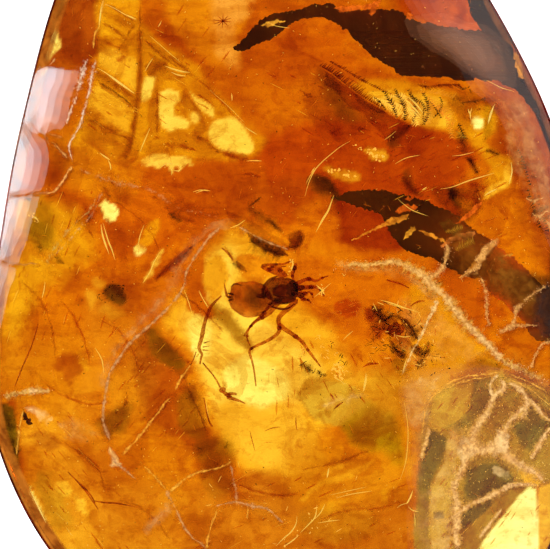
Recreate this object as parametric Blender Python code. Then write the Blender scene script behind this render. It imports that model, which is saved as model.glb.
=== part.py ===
"""A polished drop of amber, lying on its flat back: one solid, in metres, +Z up.

Origin: the middle of the flat back, under the middle of the drop's own box.
+Y runs up the drop to its narrow end, +X to the right as seen from above.
"""

import math

import bmesh
import bpy
from mathutils import Vector
from mathutils.geometry import interpolate_bezier

MM = 0.001

# Driving dimensions, in millimetres.
THICKNESS = 8.0         # flat back to the crown of the dome
GIRDLE_HEIGHT = 3.8     # the widest level, where the dome meets the rounded underside
BASE_SHARE = 0.86       # the flat back's outline as a share of the girdle's
DOME_FULLNESS = 2.2     # how far out the dome stays high: 2 is a parabola's, more is fuller
DOME_EDGE = 1.05        # how round the dome turns into the girdle: 1 is a sharp edge, 2 is round
CROWN = (-0.6, -1.8)    # the dome's highest point, which is off the middle of a hand-cut drop
WAVE_HEIGHT = 0.07      # how far hand polishing leaves the dome from a true one
WAVE_LENGTH = 13.0      # from crest to crest of that waviness

# The drop's outline at the girdle, clockwise from its narrow tip. It leans to the left.
OUTLINE = [
    (-3.1, 17.3), (1.9, 16.4), (5.8, 13.5), (9.35, 7.9), (11.25, 2.8), (12.05, -3.4),
    (11.6, -10.2), (8.0, -15.5), (0.6, -17.3), (-5.8, -15.6), (-9.7, -11.6), (-11.8, -7.2),
    (-12.1, -3.4), (-11.5, 1.5), (-10.7, 5.7), (-9.25, 10.9), (-7.1, 14.9),
]

# How finely the surface is cut into faces.
STEPS_PER_SPAN = 5
DOME_RINGS = 19
UNDERSIDE_RINGS = 6


def closed_curve(points, steps):
    """Points along a smooth closed curve through the given ones."""
    knots = [Vector((x, y, 0.0)) for x, y in points]
    count = len(knots)
    curve = []
    for i, start in enumerate(knots):
        end = knots[(i + 1) % count]
        leave = start + (end - knots[i - 1]) / 6
        arrive = end - (knots[(i + 2) % count] - start) / 6
        curve += interpolate_bezier(start, leave, arrive, end, steps + 1)[:-1]
    return curve


def centred(curve):
    """The curve moved so that the middle of its own box is at the origin."""
    xs = [p.x for p in curve]
    ys = [p.y for p in curve]
    middle = Vector(((min(xs) + max(xs)) / 2, (min(ys) + max(ys)) / 2, 0.0))
    return [p - middle for p in curve]


def waviness(x, y):
    """The low swells that hand polishing leaves in the dome, from -1 to 1."""
    turn = 2 * math.pi / WAVE_LENGTH
    return 0.6 * math.sin(turn * (x + 0.4 * y) + 0.7) + 0.4 * math.sin(turn * 1.3 * (y - 0.5 * x) + 2.1)


def dome_section():
    """(share of the outline, height) from just below the crown down to the girdle."""
    rise = THICKNESS - GIRDLE_HEIGHT
    section = []
    for i in range(1, DOME_RINGS + 1):
        angle = math.pi / 2 * i / DOME_RINGS
        share = math.sin(angle) ** (2 / DOME_FULLNESS)
        section.append((share, GIRDLE_HEIGHT + rise * math.cos(angle) ** (2 / DOME_EDGE)))
    return section


def underside_section():
    """(share of the outline, height) from below the girdle round to the edge of the flat back."""
    section = []
    for i in range(1, UNDERSIDE_RINGS + 1):
        angle = math.pi / 2 * i / UNDERSIDE_RINGS
        share = BASE_SHARE + (1 - BASE_SHARE) * math.cos(angle)
        section.append((share, GIRDLE_HEIGHT * (1 - math.sin(angle))))
    return section


def ring_points(outline, share, height):
    """One ring of the surface: the outline drawn in towards the crown, with the dome's waviness."""
    crown = Vector((*CROWN, 0.0))
    above = max(height - GIRDLE_HEIGHT, 0.0) / (THICKNESS - GIRDLE_HEIGHT)
    ring = []
    for p in outline:
        place = crown + (p - crown) * share
        place.z = height + above * WAVE_HEIGHT * waviness(place.x, place.y)
        ring.append(place)
    return ring


def amber_drop(outline):
    """The polished drop as one closed mesh: crown, dome, rounded underside and flat back."""
    rings = [ring_points(outline, *at) for at in dome_section() + underside_section()]
    crown = Vector((*CROWN, THICKNESS + WAVE_HEIGHT * waviness(*CROWN)))
    mesh = bmesh.new()
    top = mesh.verts.new(crown * MM)
    loops = [[mesh.verts.new(p * MM) for p in ring] for ring in rings]
    around = range(len(outline))
    for i in around:
        mesh.faces.new((top, loops[0][i], loops[0][i - 1]))
    for upper, lower in zip(loops, loops[1:]):
        for i in around:
            mesh.faces.new((upper[i - 1], upper[i], lower[i], lower[i - 1]))
    mesh.faces.new(loops[-1])
    bmesh.ops.recalc_face_normals(mesh, faces=mesh.faces)
    return mesh


def amber_material():
    """Clear golden-orange resin with a high polish."""
    material = bpy.data.materials.new("amber")
    material.use_nodes = True
    shader = material.node_tree.nodes["Principled BSDF"]
    shader.inputs["Base Color"].default_value = (0.84, 0.36, 0.03, 1.0)
    shader.inputs["Roughness"].default_value = 0.05
    shader.inputs["IOR"].default_value = 1.54
    shader.inputs["Transmission Weight"].default_value = 0.6
    return material


def add_object(name, mesh, material):
    data = bpy.data.meshes.new(name)
    mesh.to_mesh(data)
    mesh.free()
    data.materials.append(material)
    data.shade_smooth()
    data.set_sharp_from_angle(angle=math.radians(40))
    obj = bpy.data.objects.new(name, data)
    bpy.context.scene.collection.objects.link(obj)
    return obj


def build():
    for obj in list(bpy.data.objects):
        bpy.data.objects.remove(obj)
    outline = centred(closed_curve(OUTLINE, STEPS_PER_SPAN))
    add_object("amber_drop", amber_drop(outline), amber_material())


build()
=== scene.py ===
# %% [markdown]
# A spider in amber. The drop of fossil resin is one solid, and it comes in as a plain frame. Here it
# gets its polish and its colour, and everything the resin caught is made inside it: flow layers, dark
# flakes, fractures, hairs, crumbs and the spider. All lengths below are in millimetres in the drop's
# own frame: X to the right, Y up the drop, Z up out of the dome.

import math

import bmesh
import bpy
import numpy as np
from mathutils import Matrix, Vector, noise
from mathutils.geometry import interpolate_bezier, tessellate_polygon


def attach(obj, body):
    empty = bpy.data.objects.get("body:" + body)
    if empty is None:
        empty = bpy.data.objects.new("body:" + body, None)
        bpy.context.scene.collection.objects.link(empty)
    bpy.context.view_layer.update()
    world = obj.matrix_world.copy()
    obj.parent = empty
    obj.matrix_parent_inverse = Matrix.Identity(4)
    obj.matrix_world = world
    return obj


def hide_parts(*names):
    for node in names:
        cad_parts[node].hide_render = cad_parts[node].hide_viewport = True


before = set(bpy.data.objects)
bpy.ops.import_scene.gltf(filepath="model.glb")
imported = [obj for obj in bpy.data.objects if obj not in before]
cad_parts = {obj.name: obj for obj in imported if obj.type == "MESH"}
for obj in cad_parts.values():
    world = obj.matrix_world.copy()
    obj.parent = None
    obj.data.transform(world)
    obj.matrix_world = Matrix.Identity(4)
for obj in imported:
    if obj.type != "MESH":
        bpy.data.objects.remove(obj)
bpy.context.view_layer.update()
MM = 0.001

# %% [markdown]
# The drop's surface follows a rule, so the rule is written down once. An outline at the girdle is
# drawn in towards the crown, and at each share of the way the dome has a height. The same rule
# makes the fine mesh, and tells later cells how far under the polish each thing lies.

# %% The drop's shape, as numbers
THICKNESS = 8.0
GIRDLE_HEIGHT = 3.8
BASE_SHARE = 0.86
DOME_FULLNESS = 2.2
DOME_EDGE = 1.05
CROWN = np.array((-0.6, -1.8))
WAVE_HEIGHT = 0.07
WAVE_LENGTH = 13.0
TINY = 1e-9
OUTLINE = [
    (-3.1, 17.3), (1.9, 16.4), (5.8, 13.5), (9.35, 7.9), (11.25, 2.8), (12.05, -3.4),
    (11.6, -10.2), (8.0, -15.5), (0.6, -17.3), (-5.8, -15.6), (-9.7, -11.6), (-11.8, -7.2),
    (-12.1, -3.4), (-11.5, 1.5), (-10.7, 5.7), (-9.25, 10.9), (-7.1, 14.9),
]


def trace(steps):
    """A line in hundredths of a millimetre: its first place, then each step to the next."""
    x, y, places = 0, 0, []
    for step in steps.split():
        right, up = step.split(",")
        x += int(right)
        y += int(up)
        places.append((x / 100, y / 100))
    return places


def smooth_curve(points, steps, closed=False):
    """Points along a smooth curve through the given ones, as an array."""
    knots = [Vector((*p, 0.0)).to_3d() if len(p) == 2 else Vector(p) for p in points]
    count = len(knots)
    spans = count if closed else count - 1
    curve = []
    for i in range(spans):
        before = knots[i - 1] if closed or i else knots[0]
        start = knots[i]
        end = knots[(i + 1) % count]
        after = knots[(i + 2) % count] if closed or i + 2 < count else knots[-1]
        leave = start + (end - before) / 6
        arrive = end - (after - start) / 6
        curve += interpolate_bezier(start, leave, arrive, end, steps + 1)[:-1]
    if not closed:
        curve.append(knots[-1])
    return np.array([tuple(p) for p in curve])[:, : len(points[0])]


def unit(vectors):
    """The vectors at length 1."""
    return vectors / np.maximum(np.linalg.norm(vectors, axis=-1, keepdims=True), TINY)


girdle_line = smooth_curve(OUTLINE, 40, closed=True)
girdle_line -= (girdle_line.max(axis=0) + girdle_line.min(axis=0)) / 2
print("girdle:", len(girdle_line), "points", np.ptp(girdle_line, axis=0).round(2), "mm")

# %% Height of the dome over any place
spokes = girdle_line - CROWN
spoke_angles = np.arctan2(spokes[:, 1], spokes[:, 0])
spoke_order = np.argsort(spoke_angles)
spoke_angles = spoke_angles[spoke_order]
spoke_lengths = np.hypot(spokes[:, 0], spokes[:, 1])[spoke_order]


def waviness(x, y):
    """The low swells that hand polishing leaves in the dome, from -1 to 1."""
    turn = 2 * math.pi / WAVE_LENGTH
    long_swell = np.sin(turn * (x + 0.4 * y) + 0.7)
    return 0.6 * long_swell + 0.4 * np.sin(turn * 1.3 * (y - 0.5 * x) + 2.1)


def share_of_outline(x, y):
    """How far out a place is: 0 at the crown, 1 at the girdle."""
    reach = np.hypot(x - CROWN[0], y - CROWN[1])
    angle = np.arctan2(y - CROWN[1], x - CROWN[0])
    return reach / np.interp(angle, spoke_angles, spoke_lengths, period=2 * math.pi)


def dome_height(x, y):
    """Height of the polished dome over a place, in millimetres above the flat back."""
    share = np.clip(share_of_outline(x, y), 0.0, 0.9999)
    rise = (1 - share**DOME_FULLNESS) ** (1 / DOME_EDGE)
    return GIRDLE_HEIGHT + rise * (THICKNESS - GIRDLE_HEIGHT + WAVE_HEIGHT * waviness(x, y))


print("crown:", round(float(dome_height(*CROWN)), 2), "mm")

# %% [markdown]
# The camera looks straight down on the dome from about 20 cm, as a macro lens does. It comes
# first, because what is sealed in the resin is seen through a curved surface that bends every
# line of sight, and each thing is placed where it should appear from there.

# %% The camera
FRAME_WIDTH = 22.0
CAMERA_HEIGHT = 200.0
VIEW_CENTRE = (-0.6, -0.68)
SENSOR_WIDTH = 36.0
eye = np.array((*VIEW_CENTRE, CAMERA_HEIGHT))
lens_data = bpy.data.cameras.new("macro_lens")
lens_data.sensor_width = SENSOR_WIDTH
lens_data.lens = SENSOR_WIDTH * (CAMERA_HEIGHT - GIRDLE_HEIGHT) / FRAME_WIDTH
lens_data.clip_start = 0.01
camera = bpy.data.objects.new("macro_camera", lens_data)
camera.location = Vector(eye) * MM
bpy.context.scene.collection.objects.link(camera)
bpy.context.scene.camera = camera
print("lens:", round(lens_data.lens), "mm")

# %% [markdown]
# Snell's law says where a line of sight goes below the polish. `entry` follows it down to the
# dome. `sealed` takes a place as seen from above, measured in the girdle's plane, and a height
# above the flat back, and returns the true point in the resin that appears there. `mirrored`
# follows the part of the sight that the polish throws back, out to a wall beside the table.

# %% Where a thing has to lie to appear at a place
AMBER_IOR = 1.54
SLOPE_STEP = 0.01
SIGHT_PASSES = 8
REFLECTION_REACH = 0.993


def dome_normal(x, y):
    """The dome's outward direction over each place, as an array of unit vectors."""
    slope_x = (dome_height(x + SLOPE_STEP, y) - dome_height(x - SLOPE_STEP, y)) / (2 * SLOPE_STEP)
    slope_y = (dome_height(x, y + SLOPE_STEP) - dome_height(x, y - SLOPE_STEP)) / (2 * SLOPE_STEP)
    return unit(np.stack((-slope_x, -slope_y, np.ones_like(slope_x)), axis=-1))


def entry(x, y):
    """For sights aimed at places of the girdle's plane: dome points, the dome's normals, directions."""
    aim = np.stack((x, y, np.full(x.shape, GIRDLE_HEIGHT)), axis=-1) - eye
    surface = np.full(x.shape, GIRDLE_HEIGHT)
    for _ in range(SIGHT_PASSES):
        touch = eye + aim * ((surface - eye[2]) / aim[..., 2])[..., None]
        surface = dome_height(touch[..., 0], touch[..., 1])
    return touch, dome_normal(touch[..., 0], touch[..., 1]), unit(aim)


def sealed(x, y, height):
    """The points in the resin, at that height, that appear from above at (x, y)."""
    x, y, height = np.broadcast_arrays(*(np.asarray(v, float) for v in (x, y, height)))
    touch, normal, ray = entry(x, y)
    facing = -(ray * normal).sum(axis=-1, keepdims=True)
    bend = 1 / AMBER_IOR
    ray = bend * ray + (bend * facing - np.sqrt(1 - bend**2 * (1 - facing**2))) * normal
    return touch + ray * ((height - touch[..., 2]) / ray[..., 2])[..., None]


def mirrored(places, axis, wall):
    """Where the sights that the polish throws back at seen places meet a wall across that axis."""
    places = np.asarray(places, float)
    share = share_of_outline(places[:, 0], places[:, 1])[:, None]
    places = CROWN + (places - CROWN) * np.minimum(1, REFLECTION_REACH / share)
    touch, normal, ray = entry(places[:, 0], places[:, 1])
    ray = ray - 2 * (ray * normal).sum(axis=-1, keepdims=True) * normal
    return touch + ray * ((wall - touch[:, axis]) / ray[:, axis])[:, None]


print("the middle of the view lies at", sealed(*VIEW_CENTRE, 4.0).round(2))

# %% [markdown]
# Small helpers keep the rest short. Each material reads Object coordinates or a piece's own
# attribute, so its pattern stays on the piece whatever the camera does.

# %% Helpers for pieces
def new_object(name, data):
    obj = bpy.data.objects.new(name, data)
    bpy.context.scene.collection.objects.link(obj)
    return obj


def new_piece(name, points, faces, material, smooth=True):
    """A mesh from points in millimetres, at the origin, in one material."""
    data = bpy.data.meshes.new(name)
    data.from_pydata((np.asarray(points, float) * MM).tolist(), [], faces)
    data.materials.append(material)
    if smooth:
        data.shade_smooth()
    return new_object(name, data)


def settle(piece):
    """The piece is finished: it moves with the drop's body."""
    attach(piece, "root")
    print(piece.name, "has", len(piece.data.polygons), "faces")


def paint(data, values):
    """Stores one colour for each of a mesh's points, for the materials to read as its tint."""
    values = np.asarray(values, np.float32)
    rgba = np.ones((len(values), 4), np.float32)
    rgba[:, : values.shape[1]] = values
    layer = data.attributes.new("tint", "FLOAT_COLOR", "POINT")
    layer.data.foreach_set("color", rgba.ravel())


def evenly(values, way):
    """Values given at a path's ends or corners, at each share of the way along it."""
    values = np.atleast_1d(values)
    return np.interp(way, np.linspace(0, 1, len(values)), values)


def ladder(rows, across, closed):
    """The four-sided faces between rows of points. Closed rows join their ends."""
    faces = []
    for row in range(rows - 1):
        first = row * across
        for i in range(across if closed else across - 1):
            j = (i + 1) % across
            faces.append((first + i, first + j, first + across + j, first + across + i))
    return faces

# %% Helpers for materials
WHITE = (1.0, 1.0, 1.0)
EVEN = (1.0, 1.0, 1.0)
GRAIN_TURN = (0.0, 0.0, 0.7)
FACET_TURN = (0.0, 0.0, -0.6)


def new_material(name):
    """An empty node material: (material, node tree, its output node)."""
    material = bpy.data.materials.new(name)
    material.use_nodes = True
    tree = material.node_tree
    tree.nodes.clear()
    return material, tree, tree.nodes.new("ShaderNodeOutputMaterial")


def put_node(tree, kind, inputs, settings):
    """A node with its settings. An input takes a value, or a link from another node's socket."""
    made = tree.nodes.new(kind)
    for name, value in settings.items():
        setattr(made, name, value)
    for name, value in (inputs or {}).items():
        if isinstance(value, bpy.types.NodeSocket):
            tree.links.new(value, made.inputs[name])
        else:
            made.inputs[name].default_value = value
    return made


def add_node(tree, kind, inputs=None, **settings):
    """A node of a material's tree."""
    return put_node(tree, "ShaderNode" + kind, inputs, settings)


def tint_on(tree):
    """The piece's own tint: its colour socket and its cover socket."""
    stored = add_node(tree, "Attribute", attribute_name="tint")
    return stored.outputs["Color"], stored.outputs["Alpha"]


def product(tree, first, second, clamp=False):
    """Two number sockets multiplied."""
    return add_node(tree, "Math", {0: first, 1: second}, operation="MULTIPLY", use_clamp=clamp).outputs[0]


def times(tree, first, second):
    """Two colour sockets multiplied."""
    return add_node(tree, "VectorMath", {0: first, 1: second}, operation="MULTIPLY").outputs["Vector"]


def between(tree, share, first, second):
    """A colour between two, by a share from a socket. A colour may be a socket or numbers."""
    ends = [(*colour, 1.0) if isinstance(colour, tuple) else colour for colour in (first, second)]
    return add_node(tree, "Mix", {0: share, 6: ends[0], 7: ends[1]}, data_type="RGBA").outputs[2]


def mixed(tree, share, first, second):
    """Two shaders mixed. The share is the second one's, as a number or a socket."""
    return add_node(tree, "MixShader", {0: share, 1: first, 2: second}).outputs[0]


def grain(tree, scale, low, high, detail=4.0, stretch=EVEN, swirl=0.0, window=(0.3, 0.7)):
    """A noise on Object coordinates, spread to run from low to high. Scale is patches per metre."""
    place = add_node(tree, "TexCoord").outputs["Object"]
    turned = add_node(tree, "Mapping", {"Vector": place, "Scale": stretch, "Rotation": GRAIN_TURN})
    pattern = add_node(tree, "TexNoise", {
        "Vector": turned.outputs["Vector"], "Scale": scale,
        "Detail": detail, "Roughness": 0.6, "Distortion": swirl,
    })
    limits = {"From Min": window[0], "From Max": window[1], "To Min": low, "To Max": high}
    return add_node(tree, "MapRange", {"Value": pattern.outputs["Fac"], **limits}).outputs["Result"]


def facets(tree, scale, low, high, stretch=EVEN, bend=0.0006):
    """Patches with crisp crooked edges, each with a value of its own from low to high."""
    place = add_node(tree, "TexCoord").outputs["Object"]
    turned = add_node(tree, "Mapping", {"Vector": place, "Scale": stretch, "Rotation": FACET_TURN})
    wander = add_node(tree, "TexNoise", {
        "Vector": place, "Scale": scale * 1.5, "Detail": 4.0, "Roughness": 0.7,
    })
    shift = add_node(tree, "VectorMath", {0: wander.outputs["Color"], "Scale": bend}, operation="SCALE")
    moved = add_node(tree, "VectorMath", {
        0: turned.outputs["Vector"], 1: shift.outputs["Vector"],
    }, operation="ADD")
    cells = add_node(tree, "TexVoronoi", {"Vector": moved.outputs["Vector"], "Scale": scale})
    spread = add_node(tree, "MapRange", {"Value": cells.outputs["Color"], "To Min": low, "To Max": high})
    return spread.outputs["Result"]

# %% [markdown]
# The drop lies on a pale table that is lit from below, so light comes up through the resin. Soft
# boxes beside and above the table give the polish its broad reflections. A box's outline is cut
# to the shape that its reflection takes on the dome: the places of the reflection's edge are sent
# out by `mirrored`. On the left the reflection is broken by the fractures that reach the polish.

# %% Table and soft boxes
TABLE_SIZE = 3000.0
TABLE_GAP = 0.05
TABLE_GLOW = 1.95
LEFT_WALL = -300.0
CEILING = 200.0
FAR_RIGHT = 1500.0
ACROSS_X, ACROSS_Z = 0, 2


def glowing(name, points, faces, strength, tint=WHITE, thin=False):
    """A sheet, in millimetres, that shines evenly. A thin one also shows what shines behind it."""
    material, tree, output = new_material(name)
    light = add_node(tree, "Emission", {"Color": (*tint, 1.0), "Strength": strength}).outputs[0]
    if thin:
        clear = add_node(tree, "BsdfTransparent").outputs[0]
        light = add_node(tree, "AddShader", {0: light, 1: clear}).outputs[0]
    tree.links.new(light, output.inputs["Surface"])
    sheet = new_piece(name, points, faces, material, smooth=False)
    return sheet


def soft_box(name, outline, axis, wall, strength, tint, far=()):
    """A light whose reflection on the dome has that seen outline. `far` adds corners on the wall."""
    corners = [tuple(p) for p in mirrored(outline, axis, wall)] + list(far)
    flat = [Vector(c[:axis] + c[axis + 1 :]).to_3d() for c in corners]
    panel = glowing(name, corners, tessellate_polygon([flat]), strength, tint, thin=True)
    panel.visible_camera = False


half = TABLE_SIZE / 2
table = [(x, y, -TABLE_GAP) for x, y in ((-half, -half), (half, -half), (half, half), (-half, half))]
glowing("light_table", table, [(0, 1, 2, 3)], TABLE_GLOW)

FADE_STEPS = 4
LEFT_PANELS = {
    "left_top": trace("-1008,730 24,12 32,8 48,-4 60,4 -4,-40 -16,-36 -16,-44 -8,-52 -12,-44 -16,-36"
        " -28,8 -28,28 -24,0 -28,24 -24,24 -24,32 24,64"),
    "left_middle": trace("-1096,590 40,-24 20,-20 16,-24 16,-28 24,-32 16,-40 0,-40 -8,-40 -12,-48"
        " -12,-24 -36,-12 -48,-16 -36,12 -28,16 8,160"),
    "left_low": trace("-1144,238 24,-8 20,-4 16,8 44,8 40,8 -8,-36 -12,-32 -16,-48 -16,-48 -20,-52"
        " -12,-44 -28,-8 -48,4 -24,12 0,152"),
    "left_end": trace("-1184,-26 40,0 40,-8 12,0 -12,-48 -16,-40 -12,-48 -16,-72 -20,-64 -24,16 0,200"),
}
RIGHT_LOW_EDGE = trace("488,-1450 -16,284 -8,116 12,112 -20,104 12,120 -20,96 -16,80 16,56 40,32 72,12"
    " 100,16 100,4 140,-24 136,-64 104,-40")
RIGHT_HIGH_EDGE = trace("408,1190 48,-160 32,-56 48,-56 56,-48 48,-48 32,-56 24,-48 32,-48 32,-28 40,-28"
    " 36,-56 32,-56 36,-56 28,-80 28,-72 20,-72 24,-88 28,-80 48,-104 80,-120")
SMOKE_PATCH = trace("456,950 80,24 88,0 80,-32 88,-24 72,-56 40,-88 0,-88 -64,-8 -72,24 -72,40 -64,48"
    " -72,40 -80,56")
COOL_LIGHT = (0.74, 0.98, 1.1)
WARM_LIGHT = (1.0, 0.95, 0.88)
ROSE_LIGHT = (1.0, 0.94, 0.92)
SMOKE_LIGHT = (1.0, 0.42, 0.2)
LOW_GLOW, HIGH_GLOW, SMOKE_GLOW = (glow / FADE_STEPS for glow in (0.5, 1.2, 4.2))
far_low = [(FAR_RIGHT, y, CEILING) for y in (-300, -900)]
far_high = [(FAR_RIGHT, y, CEILING) for y in (100, 900)]
for step in range(FADE_STEPS):
    # each box is laid a little further in than the last, so that a reflection fades in softly
    for name, outline in LEFT_PANELS.items():
        inward = np.array(outline) - (0.3 * step, 0.0)
        soft_box(f"{name}_{step}", inward, ACROSS_X, LEFT_WALL - step, 2.0 + 0.6 * step, COOL_LIGHT)
    low = np.array(RIGHT_LOW_EDGE) + (0.24 * step, -0.06 * step)
    soft_box(f"right_low_{step}", low, ACROSS_Z, CEILING + step, LOW_GLOW, WARM_LIGHT, far_low)
    high = np.array(RIGHT_HIGH_EDGE) + (0.3 * step, 0.05 * step)
    soft_box(f"right_high_{step}", high, ACROSS_Z, CEILING + step, HIGH_GLOW, ROSE_LIGHT, far_high)
    smoke = np.array(SMOKE_PATCH)
    smoke = smoke.mean(axis=0) + (smoke - smoke.mean(axis=0)) * (1 - 0.2 * step)
    soft_box(f"right_smoke_{step}", smoke, ACROSS_Z, CEILING - 1 - step, SMOKE_GLOW, SMOKE_LIGHT)
print("soft boxes:", len(LEFT_PANELS) + 3, "each in", FADE_STEPS, "steps")

# %% The dim room, and how many turns of light to follow
ROOM_GREY = 0.03
RESIN_BOUNCES = 24
FILM_BOUNCES = 64
GLOSS_BOUNCES = 8
world = bpy.data.worlds.new("dim_studio")
world.use_nodes = True
world.node_tree.nodes["Background"].inputs["Color"].default_value = (ROOM_GREY, ROOM_GREY, ROOM_GREY, 1)
scene = bpy.context.scene
scene.world = world
scene.view_settings.view_transform = "Standard"
scene.cycles.max_bounces = RESIN_BOUNCES
scene.cycles.transmission_bounces = RESIN_BOUNCES
scene.cycles.transparent_max_bounces = FILM_BOUNCES
scene.cycles.glossy_bounces = GLOSS_BOUNCES
print("room: grey", ROOM_GREY, "and up to", RESIN_BOUNCES, "bounces in the resin")

# %% [markdown]
# The amber itself. It is clear and golden by absorption: blue light dies out first, then green, so
# a longer way through it looks deeper. It is one closed mesh with plain transmission, and the
# polish gets only a faint unevenness. Its rings of points follow the rule of the dome's shape.

# %% The amber's material
AMBER_REACH = 288.0
AMBER_HUE = (0.978, 0.792, 0.0)


def amber_material():
    """Clear golden resin. Absorption is plain: density per metre, and what is not absorbed as a hue."""
    material, tree, output = new_material("amber")
    shader = add_node(tree, "BsdfPrincipled", {
        "Base Color": (*WHITE, 1.0), "IOR": AMBER_IOR, "Transmission Weight": 1.0,
        "Roughness": grain(tree, 500.0, 0.0, 0.03),
    })
    tree.links.new(shader.outputs["BSDF"], output.inputs["Surface"])
    inside = add_node(tree, "VolumeAbsorption", {"Color": (*AMBER_HUE, 1.0), "Density": AMBER_REACH})
    tree.links.new(inside.outputs["Volume"], output.inputs["Volume"])
    return material

# %% The amber's fine mesh
DOME_RINGS = 100
UNDERSIDE_RINGS = 24


def drop_rings():
    """(share of the outline, height) of each ring, from the crown round to the flat back."""
    rings = []
    for i in range(1, DOME_RINGS + 1):
        angle = math.pi / 2 * i / DOME_RINGS
        rise = math.cos(angle) ** (2 / DOME_EDGE) if i < DOME_RINGS else 0.0
        rings.append((math.sin(angle) ** (2 / DOME_FULLNESS), GIRDLE_HEIGHT, rise))
    for i in range(1, UNDERSIDE_RINGS + 1):
        angle = math.pi / 2 * i / UNDERSIDE_RINGS
        share = BASE_SHARE + (1 - BASE_SHARE) * math.cos(angle)
        rings.append((share, GIRDLE_HEIGHT * (1 - math.sin(angle)), 0.0))
    return rings


def drop_mesh():
    """The drop's points and faces: a fan at the crown, rings of quads, and the flat back."""
    count = len(girdle_line)
    points = [(*CROWN, float(dome_height(*CROWN)))]
    for share, height, rise in drop_rings():
        ring = CROWN + (girdle_line - CROWN) * share
        swell = THICKNESS - GIRDLE_HEIGHT + WAVE_HEIGHT * waviness(ring[:, 0], ring[:, 1])
        points += [(x, y, height + rise * s) for (x, y), s in zip(ring, swell)]
    faces = [(0, 1 + (i + 1) % count, 1 + i) for i in range(count)]
    rings = DOME_RINGS + UNDERSIDE_RINGS
    faces += [tuple(1 + i for i in face) for face in ladder(rings, count, closed=True)]
    last = 1 + (rings - 1) * count
    faces.append(tuple(last + i for i in reversed(range(count))))
    return np.array(points), faces


points, faces = drop_mesh()
drop = new_piece("amber", points, faces, amber_material())
shell = bmesh.new()
shell.from_mesh(drop.data)
bmesh.ops.recalc_face_normals(shell, faces=shell.faces)
volume = shell.calc_volume(signed=True) / MM**3
shell.to_mesh(drop.data)
shell.free()
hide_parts("amber_drop")
settle(drop)
print("amber:", len(faces), "faces", round(volume), "cubic mm")

# %% [markdown]
# Baltic amber grew in flows, one skin of resin over another, and light picks up a tint at each
# skin. The deepest skin carries the drop's large patches of colour. It is a thin wavy sheet that
# starts in one tint and is then stained: a stain is a closed outline, a colour and an edge
# that may be soft. Colours are written as the 8-bit colours that the drop should show over the lit
# table, and `through` turns them into the light a skin lets pass. The sheets work by transparency,
# so they filter the light and hide nothing. Wisps of noise in the material break up every patch.

# %% Colours of the resin
CLEAR_RESIN = np.array((1.3, 0.86, 0.12))
LOOKS = {
    "bright": (255, 243, 112),
    "lemon": (255, 214, 66),
    "yellow": (250, 186, 34),
    "gold": (235, 156, 14),
    "haze": (244, 166, 52),
    "flame": (232, 140, 12),
    "orange": (222, 120, 5),
    "amber": (208, 100, 4),
    "rust": (186, 84, 10),
    "red": (200, 82, 3),
    "deep_red": (176, 64, 4),
    "olive": (176, 118, 4),
    "moss": (132, 92, 6),
    "lime": (192, 152, 12),
    "ochre": (192, 146, 34),
    "straw": (216, 168, 42),
    "slate": (148, 118, 32),
    "peat": (112, 60, 6),
    "umber": (84, 42, 10),
}


def through(look):
    """The share of red, green and blue light to let pass, for the drop to show that colour there."""
    return np.clip((np.array(LOOKS[look]) / 255) ** 2.2 / CLEAR_RESIN, 0.0, 1.0)

# %% Stains on a sheet of resin
SHEET_REACH = 0.985
SHEET_SPANS = ((-12.2, 12.3), (-17.4, 17.5))
EDGE_SWELLS = ((1.5, 1.0), (0.5, 0.7), (0.2, 0.6))
CRISP = 0.11
FAR_OFF = 1e9


def far_inside(places, outline):
    """Distance of each place to a closed outline, more than 0 inside it."""
    nearest = np.full(len(places), FAR_OFF)
    crossings = np.zeros(len(places), int)
    for (ax, ay), (bx, by) in zip(outline, np.roll(outline, -1, axis=0)):
        along_x, along_y = bx - ax, by - ay
        from_x, from_y = places[:, 0] - ax, places[:, 1] - ay
        length = max(along_x**2 + along_y**2, TINY)
        share = np.clip((from_x * along_x + from_y * along_y) / length, 0, 1)
        nearest = np.minimum(nearest, np.hypot(from_x - share * along_x, from_y - share * along_y))
        spans = (ay > places[:, 1]) != (by > places[:, 1])
        if spans.any():
            cut = ax + (places[:, 1] - ay) * along_x / (along_y or TINY)
            crossings += spans & (places[:, 0] < cut)
    return np.where(crossings % 2 == 1, nearest, -nearest)


def noise_at(places, size, seed):
    """Smooth noise over places, about -1 to 1, with swells of that size."""
    offset = Vector((seed * 17.3, seed * -9.1, seed * 5.7))
    return np.array([noise.noise(Vector((x, y, 0.0)) / size + offset) for x, y in places])


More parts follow.
